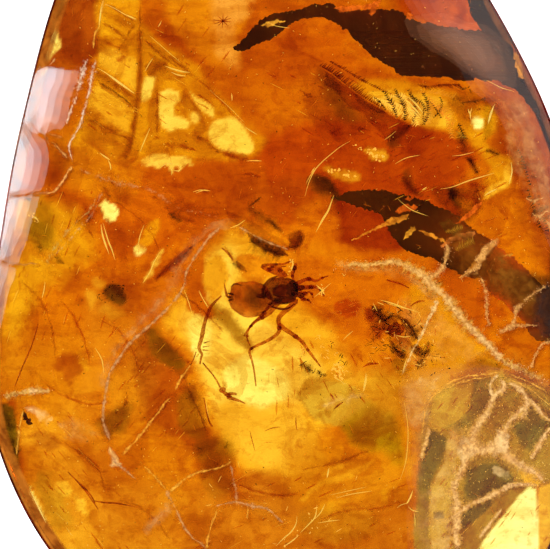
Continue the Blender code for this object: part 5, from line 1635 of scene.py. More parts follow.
PANES = [
    # tint, height, softness, cover, outline
    (BAR, 3.4, 0.1, 1.0, trace("-616,910 28,0 -4,-104 4,-96 -8,-96 -16,-80 -24,-96 -20,-48 -16,16 24,72"
        " 24,88 8,96 4,128")),
    (BAR, 3.5, 0.08, 0.9, trace("-772,750 36,-16 48,-36 40,-32 28,-24 -4,-28 -32,28 -40,24 -48,24"
        " -32,20")),
    (TEA, 3.3, 0.06, 0.9, trace("-768,702 24,-8 40,-24 40,-32 32,-32 -8,-8 -36,28 -40,28 -40,24")),
    (TEA, 3.3, 0.12, 0.85, trace("-580,766 28,20 32,-12 32,-16 32,-20 32,-20 -32,-12 -40,4 -32,8 -32,4")),
    (BAR, 3.6, 0.12, 0.9, trace("-540,718 36,-8 -16,-48 -8,-56 4,-48 8,-36 -16,-28 -28,0 -12,56 8,64"
        " 16,48")),
    (TEA, 3.4, 0.1, 0.8, trace("-428,670 28,-32 32,-40 16,-24 16,-40 -8,-40 -24,-24 -24,32 32,40 -16,40"
        " -40,16 -24,24 8,24")),
    (BAR, 3.4, 0.1, 0.9, trace("-792,614 32,-32 40,-40 40,-32 40,-16 40,-24 -8,-72 -40,-40 -64,16 -64,56"
        " -64,48 -8,48")),
    (BAR, 3.7, 0.1, 0.8, trace("-760,854 48,-24 32,8 24,32 32,32 16,-8 -32,-48 -32,-32 -48,-8 -40,16")),
    (BAR, 3.6, 0.08, 0.7, trace("-744,990 48,-16 56,-32 24,-20 -8,-12 -40,16 -48,24 -36,12")),
    (BAR, 3.6, 0.08, 0.7, trace("-744,942 40,-20 48,-32 -8,-12 -48,20 -36,16")),
    (BAR, 3.5, 0.1, 0.75, trace("-560,862 40,-16 48,-40 56,-40 40,-40 -24,0 -56,40 -48,32 -48,32")),
    (BAR, 3.5, 0.1, 0.75, trace("-568,822 40,-24 40,-32 -24,0 -40,24")),
    (BAR, 3.4, 0.2, 0.8, trace("-608,494 56,-8 56,8 56,16 64,-16 40,-24 56,-48 -56,-24 -64,32 -72,0"
        " -80,-24 -48,24")),
    (TEA, 3.5, 0.06, 0.9, trace("-260,414 36,8 48,-8 8,-16 -32,-8 -40,8")),
    (TEA, 3.6, 0.2, 0.7, trace("-720,310 80,-32 -8,-72 -40,16 -24,40")),
    (TEA, 3.4, 0.06, 1.0, trace("144,742 28,-12 48,-40 44,-32 48,-36 48,-28 48,-28 48,-24 36,-20 -32,-28"
        " -36,-24 -32,-8 -32,40 -32,32 -40,48 -48,16 -32,32 -32,40 -40,24")),
    (SMOKE, 3.5, 0.2, 0.75, trace("144,738 32,-16 32,-36 -8,-32 -32,16 -24,32")),
    (SMOKE, 3.6, 0.15, 0.6, trace("256,658 40,-24 40,-28 40,-24 -24,-8 -48,24 -32,24")),
    (SMOKE, 3.4, 0.15, 0.75, trace("428,522 60,12 -16,-24 -32,-24 -32,-16 -8,24")),
    (TEA, 3.3, 0.5, 0.6, trace("56,662 72,16 72,-56 48,-56 56,-56 -64,-48 -80,24 -72,64")),
    (TEA, 3.3, 0.4, 0.7, trace("664,646 80,-8 32,-48 -56,-56 -32,16 -24,48")),
    (SMOKE, 3.5, 0.2, 0.75, trace("96,326 48,-8 40,-24 -8,-40 -48,16 -32,24")),
    (SMOKE, 3.5, 0.25, 0.75, trace("568,278 56,16 64,-24 64,16 16,-72 -48,-72 -56,8 -40,40 -40,32")),
    (SMOKE, 3.6, 0.3, 0.6, trace("640,646 80,16 40,-32 -32,-48 -56,0 -32,32")),
    (MOSS, 3.5, 0.15, 0.8, trace("776,638 48,8 16,-48 -32,-40 0,-64 -32,-32 0,96")),
    (SMOKE, 4.4, 0.15, 0.8, trace("704,398 24,8 28,-72 -20,8")),
    (MOSS, 4.4, 0.4, 0.8, trace("616,14 104,-8 120,-48 120,-56 24,-72 -144,8 -64,72 -96,16 -80,40")),
    (TEA, 3.4, 0.3, 0.8, trace("-936,1014 56,8 48,-72 8,-120 -56,-40 -40,80")),
    (TEA, 3.4, 0.25, 0.8, trace("-944,470 32,-8 32,-72 -32,-80 -56,-40 -16,56 32,64")),
    (BAR, 3.4, 0.3, 0.9, trace("-920,270 96,-24 48,-72 -16,-88 -64,40 -48,64")),
    (MOSS, 3.4, 0.35, 0.8, trace("-1056,246 72,-16 48,-56 -16,-88 -48,-64 -40,64")),
    (BAR, 3.6, 0.3, 0.8, trace("-736,166 56,-40 48,-56 -16,-88 -64,48 -32,64")),
    (TEA, 3.7, 0.15, 0.85, trace("-540,-74 44,40 56,48 56,40 -16,-40 -48,-48 -56,-40 -32,-24")),
    (TEA, 3.7, 0.2, 0.6, trace("-560,246 80,0 104,-32 -24,-40 -96,24")),
    (MOSS, 3.6, 0.15, 0.9, trace("-568,-282 40,16 32,-64 48,-64 40,-56 -8,-40 -48,32 -48,48 -40,56")),
    (SMOKE, 3.6, 0.2, 0.5, trace("-432,-506 40,16 40,-64 32,-72 -24,-40 -40,56 -32,48")),
    (TEA, 3.5, 0.3, 0.7, trace("-768,-650 40,32 56,32 24,24 -8,-64 -32,-56 -40,-48 -24,24")),
    (BAR, 3.5, 0.4, 0.8, trace("-680,-370 104,72 56,-56 -40,-104 -88,-104 -64,24 -8,80")),
    (MOSS, 3.6, 0.4, 0.7, trace("-376,-754 72,24 64,-16 -8,-48 -64,-24 -56,16")),
    (SMOKE, 4.8, 0.15, 0.55, trace("720,-426 40,24 48,-8 44,-24 -12,-24 -56,4 -48,0")),
    (TEA, 4.8, 0.1, 0.8, trace("852,-442 68,-24 64,-24 64,-40 0,-32 -72,40 -72,32 -48,16")),
    (TEA, 4.8, 0.08, 0.7, trace("888,-506 48,-24 56,-40 56,-56 0,-24 -64,48 -56,48 -40,32")),
    (TEA, 3.5, 0.08, 0.8, trace("-1048,-918 24,0 -48,-68 -8,16 0,48")),
    # the crushed bug's dark parts, and a hollow beside each
    (UMBER, 5.0, 0.06, 0.95, trace("324,-190 20,-8 24,-24 28,-20 -12,-20 -28,16 -24,24")),
    (UMBER, 5.0, 0.06, 0.9, trace("368,-258 24,20 32,-8 16,-24 -4,-32 -24,-16 -28,12 -16,20")),
    (UMBER, 5.0, 0.06, 0.9, trace("440,-238 28,-8 24,-36 20,-40 -16,-16 -28,32 -20,32")),
    (UMBER, 5.0, 0.06, 0.85, trace("392,-322 24,-16 20,-28 28,-20 -8,-20 -28,8 -28,32")),
    (UMBER, 5.0, 0.06, 0.85, trace("480,-346 32,-12 24,-16 24,8 0,-28 -36,-8 -36,24")),
    (TEA, 4.9, 0.15, 0.9, trace("304,-202 24,8 32,-48 16,-48 -16,-40 -32,40 -24,48")),
    (TEA, 4.9, 0.15, 0.8, trace("424,-322 32,8 32,-24 -8,-32 -40,0")),
    # painted shadow that the spider's body leaves under it, and painted shade over its abdomen
    (TEA, 4.2, 0.3, 0.7, trace("-248,-138 48,48 88,16 24,-96 -40,-56 -72,8 -40,32")),
    (SMOKE, 5.7, 0.3, 0.6, trace("-176,-122 40,16 40,-8 8,-56 -24,-40 -40,-8 -20,40")),
    # painted shadows round the plank above the spider
    (UMBER, 4.6, 0.07, 0.95, trace("-176,106 48,-24 56,-20 52,-36 12,-20 -48,0 -56,28 -40,24")),
    (UMBER, 4.6, 0.1, 0.8, trace("-12,90 28,12 24,8 20,-24 -12,-32 -28,-24 -32,8 12,24")),
    (TEA, 4.5, 0.07, 0.85, trace("-256,190 40,-16 56,-24 64,-40 64,-40 36,-40 -28,-4 -56,32 -64,32"
        " -64,36 -40,32")),
    (UMBER, 4.6, 0.05, 0.9, trace("-216,-14 16,-8 20,-16 8,-20 -24,8 -16,12")),
    # clear windows low on the right
    (WINDOW, 4.4, 0.04, 0.9, trace("572,-690 52,-32 -8,-48 -24,-32 -24,-64 -12,-56 -40,-8 -4,104 28,72"
        " 24,56")),
    (WINDOW, 4.4, 0.04, 0.9, trace("736,-482 68,8 4,-56 -16,-48 -32,-56 -32,-40 -56,16 -48,-28 -24,-4"
        " 80,44 32,36 16,48")),
    (WINDOW, 4.4, 0.04, 0.8, trace("840,-510 32,12 48,-40 -8,-56 -8,-40 -40,-16 -28,-40 -20,8 -16,40"
        " -8,48 24,40")),
    (WINDOW, 4.4, 0.04, 0.95, trace("952,-526 48,-16 44,-44 0,-56 -44,-48 -32,-40 -32,0 -48,32 -4,40"
        " 32,32")),
    (WINDOW, 4.4, 0.04, 0.95, trace("708,-822 36,16 64,4 52,-8 28,-48 8,-40 -32,-20 -56,-12 -48,-24"
        " -48,-40 -20,12 12,84")),
    (WINDOW, 4.4, 0.05, 0.8, trace("680,-1034 40,28 88,44 32,12 -48,-60 -48,-40 -40,-40 -24,0")),
]
panes = Batch()
for number, (tint, height, soft, cover, outline) in enumerate(PANES):
    edge = ragged(outline, 0.03, 200 + number, 0.1)
    panes.pane(edge, height + 0.004 * number, tint, soft, cover, (0.03, -0.02))
settle(panes.make("tinted_facets_and_shadows", film_material("facet_and_shadow_film", 1200.0)))

# %% Leaves and slivers on the bark
EMBER = (0.78, 0.14, 0.01)
LEAF_TAN = (0.8, 0.3, 0.03)
LEAF_PINK = (0.78, 0.24, 0.05)
LEAF_GOLD = (0.8, 0.42, 0.05)
LEAVES = [
    # tint, outline
    (LEAF_TAN, trace("424,-322 24,8 24,-16 -12,-24 -28,4")),
    (LEAF_GOLD, trace("472,-358 20,4 12,-24 -20,-12")),
    (LEAF_GOLD, trace("432,-358 20,4 12,-20 -16,-8")),
    (LEAF_TAN, trace("384,-214 24,-4 16,-16 -24,-4")),
    (EMBER, trace("420,182 20,20 24,12 32,-4 16,-8 -20,-12 -32,-8 -28,-8")),
    (EMBER, trace("456,234 20,8 16,-8 -12,-12")),
    (LEAF_TAN, trace("244,66 60,40 72,32 24,20 36,4 36,12 -8,-20 -40,-16 -44,-12 -60,-24")),
    (GOLDEN, trace("456,74 12,28 16,20 16,4 -4,-20 -20,-24")),
    (LEAF_TAN, trace("512,106 28,-4 32,-12 32,-12 28,-20 -28,8 -36,12 -32,12")),
    (LEAF_PINK, trace("600,46 16,20 24,12 32,20 28,4 28,4 16,-12 -32,-20 -20,-12 -24,8 -28,-20 -28,-12")),
    (EMBER, trace("660,130 24,28 28,20 24,28 40,24 -20,-28 -28,-36 -32,-20")),
    (LEAF_TAN, trace("680,-86 32,36 24,28 24,36 16,32 32,12 24,16 -16,-32 -24,-20 -20,-36 -32,-28")),
    (GOLDEN, trace("848,2 24,12 24,4 -16,-16")),
    (EMBER, trace("180,998 40,8 52,0 48,8 48,24 -16,-40 -48,-8 -64,-4 -40,-4")),
    (GOLDEN, trace("-120,930 32,12 32,8 36,-4 -28,-12 -40,-12")),
    (EMBER, trace("312,974 20,32 12,16 0,-32 -16,-28")),
    (EMBER, trace("472,982 16,-16 -8,-24 -16,16")),
    (PEACH, trace("944,238 28,-8 40,8 -36,-20")),
    (PEACH, trace("960,178 32,-4 44,12 -36,-24")),
    (LEAF_TAN, trace("888,814 20,8 16,-48 12,-56 -16,-8 -24,48")),
]
# the leaves glow by themselves in their tints: painted light
leaves = Batch()
for number, (tint, outline) in enumerate(LEAVES):
    leaves.pane(ragged(outline, 0.07, 300 + number, 0.05), 4.7 + 0.01 * number, tint, 0.05, 0.95)
leaf_frost = frost_glow_material("leaf_frost", 2500.0, (0.35, 0.6), 0.55, 1.0, 0.25, 0.25)
settle(leaves.make("ember_leaves", leaf_frost))

# %% [markdown]
# Gleams are the brightest marks: hair-thin fractures and splinters that turn the table's light
# straight up. They are closed rods with tapering ends, in a gold that shines a little by itself: a
# painted glint that stands for that light.

# %% Gleams
def painted_glow_material(name, colour, strength):
    """Fresh gold edges of resin: glossy, with a painted glow that stands for the light they send up."""
    material, tree, output = new_material(name)
    tone = between(tree, grain(tree, 3000.0, 0.0, 1.0, 3.0), colour, tuple(0.6 * c for c in colour))
    gold = add_node(tree, "BsdfPrincipled", {
        "Base Color": tone, "Roughness": 0.25, "IOR": AMBER_IOR,
        "Emission Color": (*colour, 1.0), "Emission Strength": strength,
    })
    tree.links.new(gold.outputs[0], output.inputs["Surface"])
    return material


GLEAMS = [
    # height, widest radius in hundredths of a millimetre, path
    (5.4, 3, trace("-56,-1154 32,32 28,24 20,32 4,32")),
    (5.4, 3, trace("-28,-1158 36,24 28,24")),
    (5.4, 3, trace("40,-1102 32,32 28,32 8,48")),
    (5.4, 2.5, trace("100,-1046 24,28 16,32")),
    (5.4, 1.8, trace("112,-1062 48,8 40,4")),
    (5.2, 1.4, trace("160,-950 72,16 72,16")),
    (5.4, 4, trace("108,-114 16,-12 16,-24")),
    (5.4, 4, trace("8,-6 4,-20 -8,-28")),
    (5.4, 3.5, trace("-750,746 38,-24 44,-32 44,-32")),
    (5.4, 4, trace("-500,766 32,-12 36,-10 32,-4")),
    (5.4, 3, trace("-476,742 28,-12 32,-4")),
    (5.4, 2.5, trace("-173,386 29,2 32,-2")),
    (5.4, 2.5, trace("-180,522 24,-16 24,-14")),
    (5.4, 3.5, trace("-760,418 16,-12 24,-16")),
    (5.4, 3, trace("-728,390 8,-16 4,-24")),
    (5.4, 2.5, trace("-476,362 4,-16 -2,-16")),
    (5.4, 3, trace("-468,350 20,-4 16,12")),
    (5.4, 2.2, trace("-528,922 8,12 6,12")),
    (5.4, 3, trace("-234,658 2,-16 0,-16")),
    (5.4, 2, trace("-376,258 32,12 24,-4")),
    (5.2, 2, trace("-366,-134 18,-32 22,-32")),
    (5.4, 2, trace("164,-102 -32,-28 -34,-28")),
    (5.4, 3, trace("104,-110 16,-12 12,-20")),
    (5.4, 2.5, trace("208,-62 8,-12 8,8")),
    (5.4, 3.5, trace("360,-170 32,-8 44,-15 44,-17")),
    (5.4, 2.2, trace("212,-330 20,20 20,16")),
    (5.4, 2.2, trace("420,-310 36,-8 28,4")),
    (5.4, 2.5, trace("332,-182 8,-16 8,-16")),
    (5.4, 3, trace("168,-442 16,16 16,-16 -4,-24")),
    (5.4, 3, trace("176,-466 12,-20 20,-8")),
    (5.4, 2.5, trace("200,-490 16,-16 12,4")),
    (5.4, 3, trace("308,-466 -4,-32 -8,-36")),
    (5.4, 2.5, trace("156,-846 -4,-16 -4,-16")),
    (5.2, 4, trace("492,-930 -12,-32 -16,-24")),
    (5.2, 1.6, trace("64,294 16,32 24,32")),
    (5.2, 3, trace("84,338 8,12 8,12")),
    (4.9, 4.5, trace("472,642 28,-24 32,-40")),
    (4.9, 4.5, trace("464,630 28,-28 32,-36")),
    (4.9, 4, trace("472,606 20,-20 28,-28")),
    (4.9, 3.5, trace("712,594 4,-12 8,-16")),
    (4.9, 4, trace("816,606 -12,-32 -12,-40")),
    (4.8, 1.2, trace("424,506 -24,-20 -24,-16")),
    (5.2, 4.5, trace("-756,134 4,-32 8,-32 20,-56")),
    (5.2, 3.5, trace("-748,138 20,-68 16,-40 12,-40")),
    (5.6, 5, trace("176,250 -12,-32 -12,-32 -20,-32 -28,-52")),
    (5.6, 2, trace("240,466 -40,-24 -40,-32 -32,-28 -28,-32 -24,-48 -16,-56")),
    (5.6, 1.8, trace("-424,-130 16,-40 16,-52")),
    (5.6, 1.8, trace("-364,-130 16,-36 20,-36")),
    (5.8, 4, trace("304,-462 -4,-36 -8,-40")),
    (5.8, 4.5, trace("156,-842 -4,-20 -4,-20")),
    (5.2, 2.5, trace("-780,-362 16,-24 12,-24 4,-24 4,-28")),
    (5.2, 2.5, trace("600,274 48,8 64,24 104,32")),
    (5.2, 4, trace("528,270 8,4 12,8")),
    (5.2, 2, trace("432,234 32,-28 32,-20 56,-20")),
    (5.0, 2.2, trace("372,-178 52,-16 48,-12 52,-16")),
    (5.0, 1.8, trace("420,374 44,24 56,12")),
    (5.0, 1.5, trace("648,406 40,4 48,12")),
    (5.4, 2.5, trace("-772,758 36,-20 40,-32 40,-28 36,-24")),
    (5.4, 1.5, trace("-740,1014 36,-16 40,-24 48,-24")),
    (5.4, 3.5, trace("-652,970 16,-8 20,-8")),
    (5.4, 3.5, trace("-748,1030 -8,-40 -8,-64")),
    (5.4, 0.9, trace("-560,886 64,-56 56,-48")),
    (5.4, 0.9, trace("-320,670 80,-72 56,-56")),
    (5.4, 1.6, trace("-548,798 -16,-24 -16,-28")),
    (5.4, 2.2, trace("-560,518 -24,-56 -16,-40")),
    (5.2, 4, trace("-604,54 0,-20 -4,-20")),
    (5.2, 2.2, trace("-584,130 -16,-44 -8,-40")),
    (5.2, 3, trace("-520,22 -24,-40 -16,-40 -28,-44")),
    (5.4, 2.5, trace("-520,358 24,16 32,0")),
    (5.4, 2.5, trace("-456,374 20,-16 -12,-16")),
    (5.4, 2, trace("-388,262 28,8 32,-4")),
    (5.4, 3, trace("484,-946 -4,-16 -12,-24")),
    (5.4, 1.6, trace("428,-1002 16,12 24,8")),
    (5.4, 2.2, trace("472,-994 16,-16 28,-8")),
    (5.4, 1.8, trace("496,-1022 4,-24 0,-32")),
    (5.6, 1.8, trace("184,-962 64,16 80,12")),
    (5.6, 3, trace("468,-402 -8,-24 -8,-28")),
    (5.6, 2.5, trace("-180,150 -28,-20 -32,-12")),
    (5.2, 2.5, trace("728,598 -8,-24 4,-24")),
    (5.2, 3, trace("820,614 -16,-32 -12,-40")),
    (5.2, 3, trace("884,382 4,-40 -12,-48")),
    (5.2, 3.5, trace("776,246 24,16 28,12")),
    (4.8, 3.5, trace("-1028,166 12,-8 12,-16")),
    (4.6, 4, trace("-1040,-930 16,-32 16,-32 32,-68")),
    (5.4, 1.6, trace("-88,942 32,-16 56,-8")),
    (5.0, 1.4, trace("784,710 32,-16 32,-16 44,-12")),
    (5.6, 1.6, trace("-188,-474 0,-40 -4,-40")),
    (5.0, 2, trace("-336,-570 4,-40 8,-32")),
    (5.0, 1.6, trace("456,-570 16,-120 -8,-120 -24,-80")),
    (4.6, 2, trace("-980,-98 -4,-32 -8,-32")),
]
GLEAM_TIP = 0.003
gleams = Batch()
for height, widest, path in GLEAMS:
    radii = (GLEAM_TIP, widest * 0.0065, widest * 0.008, GLEAM_TIP)
    gleams.tube(at(path, height - SPIDER_LEVEL), radii, WHITE, 6, 0.1)
settle(gleams.make("gold_gleams", painted_glow_material("gleam_gold", (1.0, 0.68, 0.14), 0.8)))

# %% [markdown]
# Many marks repeat along a path: the blades of a fern-like frost and their shadows, the hatching of
# a torn film, ticks along the rim and olive tufts. One Geometry Nodes tree makes them all. It takes
# a mesh of paths whose points carry a size and a lean, sets points along each path, and plants a
# thin tapered blade at each one, turned from the path by the lean, with a little chance in it.

# %% A Geometry Nodes tree for blades along paths
class Wiring:
    """A Geometry Nodes tree with a mesh going in and out, and short ways to add and join its nodes."""

    def __init__(self, name, inputs):
        self.group = bpy.data.node_groups.new(name, "GeometryNodeTree")
        sockets = self.group.interface
        sockets.new_socket("Geometry", in_out="INPUT", socket_type="NodeSocketGeometry")
        for label, kind, value in inputs:
            socket = sockets.new_socket(label, in_out="INPUT", socket_type="NodeSocket" + kind)
            if value is not None:
                socket.default_value = value
        sockets.new_socket("Geometry", in_out="OUTPUT", socket_type="NodeSocketGeometry")
        self.take = self.group.nodes.new("NodeGroupInput").outputs
        self.way_out = self.group.nodes.new("NodeGroupOutput")

    def node(self, kind, inputs=None, **settings):
        return put_node(self.group, kind, inputs, settings)

    def maths(self, operation, first, second):
        return self.node("ShaderNodeMath", {0: first, 1: second}, operation=operation).outputs[0]

    def attribute(self, name):
        """The number of that name that the source mesh carries at each point."""
        stored = self.node("GeometryNodeInputNamedAttribute", {"Name": name}, data_type="FLOAT")
        return stored.outputs["Attribute"]

    def chance(self, low, high, seed, shift):
        """A number between low and high for each point. Each shift draws other numbers."""
        draw = self.maths("ADD", seed, shift)
        dice = self.node("FunctionNodeRandomValue", {2: low, 3: high, "Seed": draw}, data_type="FLOAT")
        return dice.outputs[1]

    def wobble(self, size, seed, shift):
        """A number for each point up to that size, on either side of 0."""
        return self.maths("MULTIPLY", self.chance(-1, 1, seed, shift), size)

    def plant(self, points, shape, aim, thick, long):
        """Sets a shape at each point, its Z along the aim, and sends them out in the Finish material."""
        spin = self.node("FunctionNodeAlignRotationToVector", {"Vector": aim.outputs[0]}, axis="Z")
        scale = self.node("ShaderNodeCombineXYZ", {"X": thick, "Y": thick, "Z": long})
        planted = self.node("GeometryNodeInstanceOnPoints", {
            "Points": points, "Instance": shape.outputs["Mesh"],
            "Rotation": spin.outputs[0], "Scale": scale.outputs[0],
        })
        real = self.node("GeometryNodeRealizeInstances", {"Geometry": planted.outputs[0]})
        dressed = self.node("GeometryNodeSetMaterial", {
            "Geometry": real.outputs[0], "Material": self.take["Finish"],
        })
        self.group.links.new(dressed.outputs[0], self.way_out.inputs[0])
        return self.group


def blade_tree():
    """Paths in, tapered blades out: spacing, sides of a blade, chance and seed are inputs."""
    inputs = [
        ("Spacing", "Float", 0.0001), ("Thickness", "Float", 0.00003), ("Sides", "Int", 4),
        ("Chance", "Float", 0.3), ("Lift", "Float", 0.2), ("Seed", "Int", 0),
        ("Finish", "Material", None),
    ]
    wire = Wiring("blades_along_paths", inputs)
    take, seed = wire.take, wire.take["Seed"]
    curve = wire.node("GeometryNodeMeshToCurve", {"Mesh": take["Geometry"]})
    stops = wire.node("GeometryNodeCurveToPoints", {
        "Curve": curve.outputs[0], "Length": take["Spacing"],
    }, mode="LENGTH")
    lean = wire.maths("ADD", wire.attribute("lean"), wire.wobble(take["Chance"], seed, 1))
    turned = wire.node("ShaderNodeVectorRotate", {
        "Vector": stops.outputs["Tangent"], "Angle": lean, "Axis": (0, 0, 1),
    })
    rise = wire.node("ShaderNodeCombineXYZ", {"Z": wire.wobble(take["Lift"], seed, 2)})
    aim = wire.node("ShaderNodeVectorMath", {0: turned.outputs[0], 1: rise.outputs[0]}, operation="ADD")
    cone = wire.node("GeometryNodeMeshCone", {
        "Vertices": take["Sides"], "Radius Top": 0.05, "Radius Bottom": 1.0, "Depth": 1.0,
    })
    long = wire.maths("MULTIPLY", wire.attribute("size"), wire.chance(0.6, 1.2, seed, 3))
    thick = wire.maths("MULTIPLY", take["Thickness"], wire.chance(0.6, 1.3, seed, 4))
    return wire.plant(stops.outputs["Points"], cone, aim, thick, long)


def grow(name, tree, source, values):
    """Runs a tree on a mesh and returns the result as a plain piece."""
    holder = new_object(name + "_source", source)
    modifier = holder.modifiers.new("grow", "NODES")
    modifier.node_group = tree
    for item in tree.interface.items_tree:
        if item.item_type == "SOCKET" and item.in_out == "INPUT" and item.name in values:
            modifier[item.identifier] = values[item.name]
    holder.update_tag()
    bpy.context.view_layer.update()
    evaluated = holder.evaluated_get(bpy.context.evaluated_depsgraph_get())
    data = bpy.data.meshes.new_from_object(evaluated)
    holder.modifiers.remove(modifier)
    bpy.data.objects.remove(holder)
    data.name = name
    return new_object(name, data)


def source_mesh(name, points, edges, faces, columns):
    """A mesh for a tree to read, with a number of each kind at each point."""
    data = bpy.data.meshes.new(name)
    data.from_pydata(points, edges, faces)
    for label, values in columns.items():
        data.attributes.new(label, "FLOAT", "POINT").data.foreach_set("value", values)
    return data


def paths_mesh(paths):
    """A mesh of open paths from (seen places, height, blade length, lean in degrees) in millimetres."""
    points, edges, sizes, leans = [], [], [], []
    for places, height, size, lean in paths:
        fine = smooth_curve(places, 4)
        way = np.linspace(0, 1, len(fine))
        first = len(points)
        points += [tuple(p) for p in sealed(fine[:, 0], fine[:, 1], evenly(height, way)) * MM]
        edges += [(first + i, first + i + 1) for i in range(len(fine) - 1)]
        sizes += list(evenly(size, way) * MM)
        leans += [math.radians(lean)] * len(fine)
    return source_mesh("paths", points, edges, [], {"size": sizes, "lean": leans})


blades = blade_tree()

# %% Fern frost and hatching
def blades_piece(name, paths, height, finish, seed, spacing=0.085, thickness=0.03, chance=0.2, tint=None):
    """Blades along paths of (places, blade lengths, lean in degrees), as a piece."""
    source = paths_mesh([(places, height, size, lean) for places, size, lean in paths])
    values = {"Spacing": spacing * MM, "Thickness": thickness * MM, "Sides": 4, "Chance": chance}
    piece = grow(name, blades, source, values | {"Lift": 0.15, "Seed": seed, "Finish": finish})
    if tint:
        paint(piece.data, [tint] * len(piece.data.vertices))
    settle(piece)


def fringe(path, *sides):
    """Rows of blades along one path. Each side has its blade lengths and its lean in degrees."""
    return [(path, sizes, lean) for sizes, lean in sides]


FERN = [
    # path, blade lengths along it, lean in degrees
    (trace("336,642 40,-12 40,-8 36,-16"), (0.16, 0.34, 0.43, 0.46), -92),
    (trace("352,634 48,-20 40,-24 24,-16"), (0.14, 0.26, 0.34, 0.34), -96),
    (trace("384,638 32,4 24,0 20,4"), (0.12, 0.18, 0.18), 85),
    *fringe(
        trace("456,646 12,-32 16,-32 16,-28 8,-20"),
        ((0.24, 0.34, 0.34, 0.2), -62), ((0.2, 0.3, 0.3, 0.2), 48),
    ),
]
FISHBONES = [
    *fringe(trace("560,618 -4,-24 -4,-28 -4,-32"), ((0.18, 0.22, 0.2), 80), ((0.18, 0.22, 0.2), -80)),
    *fringe(
        trace("552,638 24,-24 28,-24 24,-28 24,-24"),
        ((0.25, 0.4, 0.42, 0.3), 65), ((0.15, 0.26, 0.26, 0.16), -42),
    ),
    *fringe(trace("624,558 12,-36 12,-40"), ((0.16, 0.22, 0.14), 60), ((0.16, 0.22, 0.14), -60)),
    (trace("512,658 40,0 48,-8 48,-12"), (0.2, 0.34, 0.3), 50),
]
DARK_BONES = [
    *fringe(trace("428,562 -12,36 -20,36 -20,28"), ((0.12, 0.2, 0.1), 50), ((0.12, 0.2, 0.1), -50)),
    *fringe(trace("460,550 0,44 -16,40 -24,36"), ((0.14, 0.22, 0.12), 52), ((0.12, 0.2, 0.1), -52)),
    *fringe(trace("492,546 12,40 -8,40 -20,40"), ((0.14, 0.2, 0.1), 50), ((0.12, 0.2, 0.1), -50)),
    *fringe(trace("536,534 16,44 0,36 -16,40"), ((0.12, 0.18, 0.1), 48), ((0.12, 0.18, 0.1), -48)),
    (trace("384,594 -20,28 -24,20"), (0.08, 0.12, 0.08), 60),
    (trace("576,558 24,24 12,32 -8,24"), (0.12, 0.18, 0.1), 55),
    *fringe(trace("484,646 24,-16 24,-16 12,-24"), ((0.08, 0.12, 0.1), 60), ((0.08, 0.12, 0.1), -60)),
    (trace("536,614 0,-32 -4,-48"), (0.06, 0.08, 0.06), -40),
    (trace("560,622 20,-28 20,-32"), (0.1, 0.14, 0.1), 50),
    (trace("672,678 20,-8 20,8 8,-16"), (0.1, 0.14), 70),
    (trace("688,622 32,4 32,4 24,8"), (0.14, 0.2), -50),
    (trace("672,534 12,-24 8,-28"), (0.16, 0.2), 70),
    (trace("676,530 12,-24 12,-24"), (0.16, 0.2), -70),
]
RIM_TICKS = [
    (trace("916,430 20,-40 12,-40 16,-56"), (0.14, 0.26, 0.16), -85),
    (trace("956,270 16,-48 16,-48 16,-48"), (0.2, 0.3, 0.2), -75),
    (trace("1000,214 16,-48 20,-56"), (0.16, 0.24), -80),
]
HATCHING = [
    (trace("120,766 40,-24 56,-44 48,-36 48,-32 48,-28"), (0.2, 0.36, 0.4, 0.3, 0.2), 78),
    (trace("160,782 56,-32 64,-40 64,-32 56,-24"), (0.1, 0.2, 0.2, 0.1), 60),
    (trace("512,694 48,-8 56,8 56,0"), (0.2, 0.3), -40),
]
# the fern's gold and orange blades glow by themselves: painted glints
fern_gold = painted_glow_material("fern_gold", (1.0, 0.62, 0.1), 0.95)
fern_orange = painted_glow_material("fern_orange", (0.95, 0.36, 0.03), 0.7)
hatch_film = film_material("hatch_film", 3000.0)
blades_piece("fern_frost", FERN, 4.6, fern_gold, 4, 0.075, 0.034, 0.16)
blades_piece("fern_bones", FISHBONES, 4.6, fern_orange, 5, 0.09, 0.024)
blades_piece("rim_ticks", RIM_TICKS, 4.5, shard_bark, 8, 0.13, 0.035, 0.5, WHITE)
blades_piece("fern_shadows", DARK_BONES, 4.75, shard_bark, 6, 0.08, 0.032, 0.25, (1.3, 1.2, 0.9))
blades_piece("torn_hatching", HATCHING, 4.3, hatch_film, 7, 0.08, 0.05, 0.16, (0.52, 0.3, 0.14))

# %% [markdown]
# Crumbs, splinters, hairs and dust have no order of their own, so a second tree scatters them. It
# takes flat zones whose corners carry how crowded the zone is and how long, thick and turned its bits
# are. It throws points on each zone, lifts each a little up or down, and sets a small crystal there.

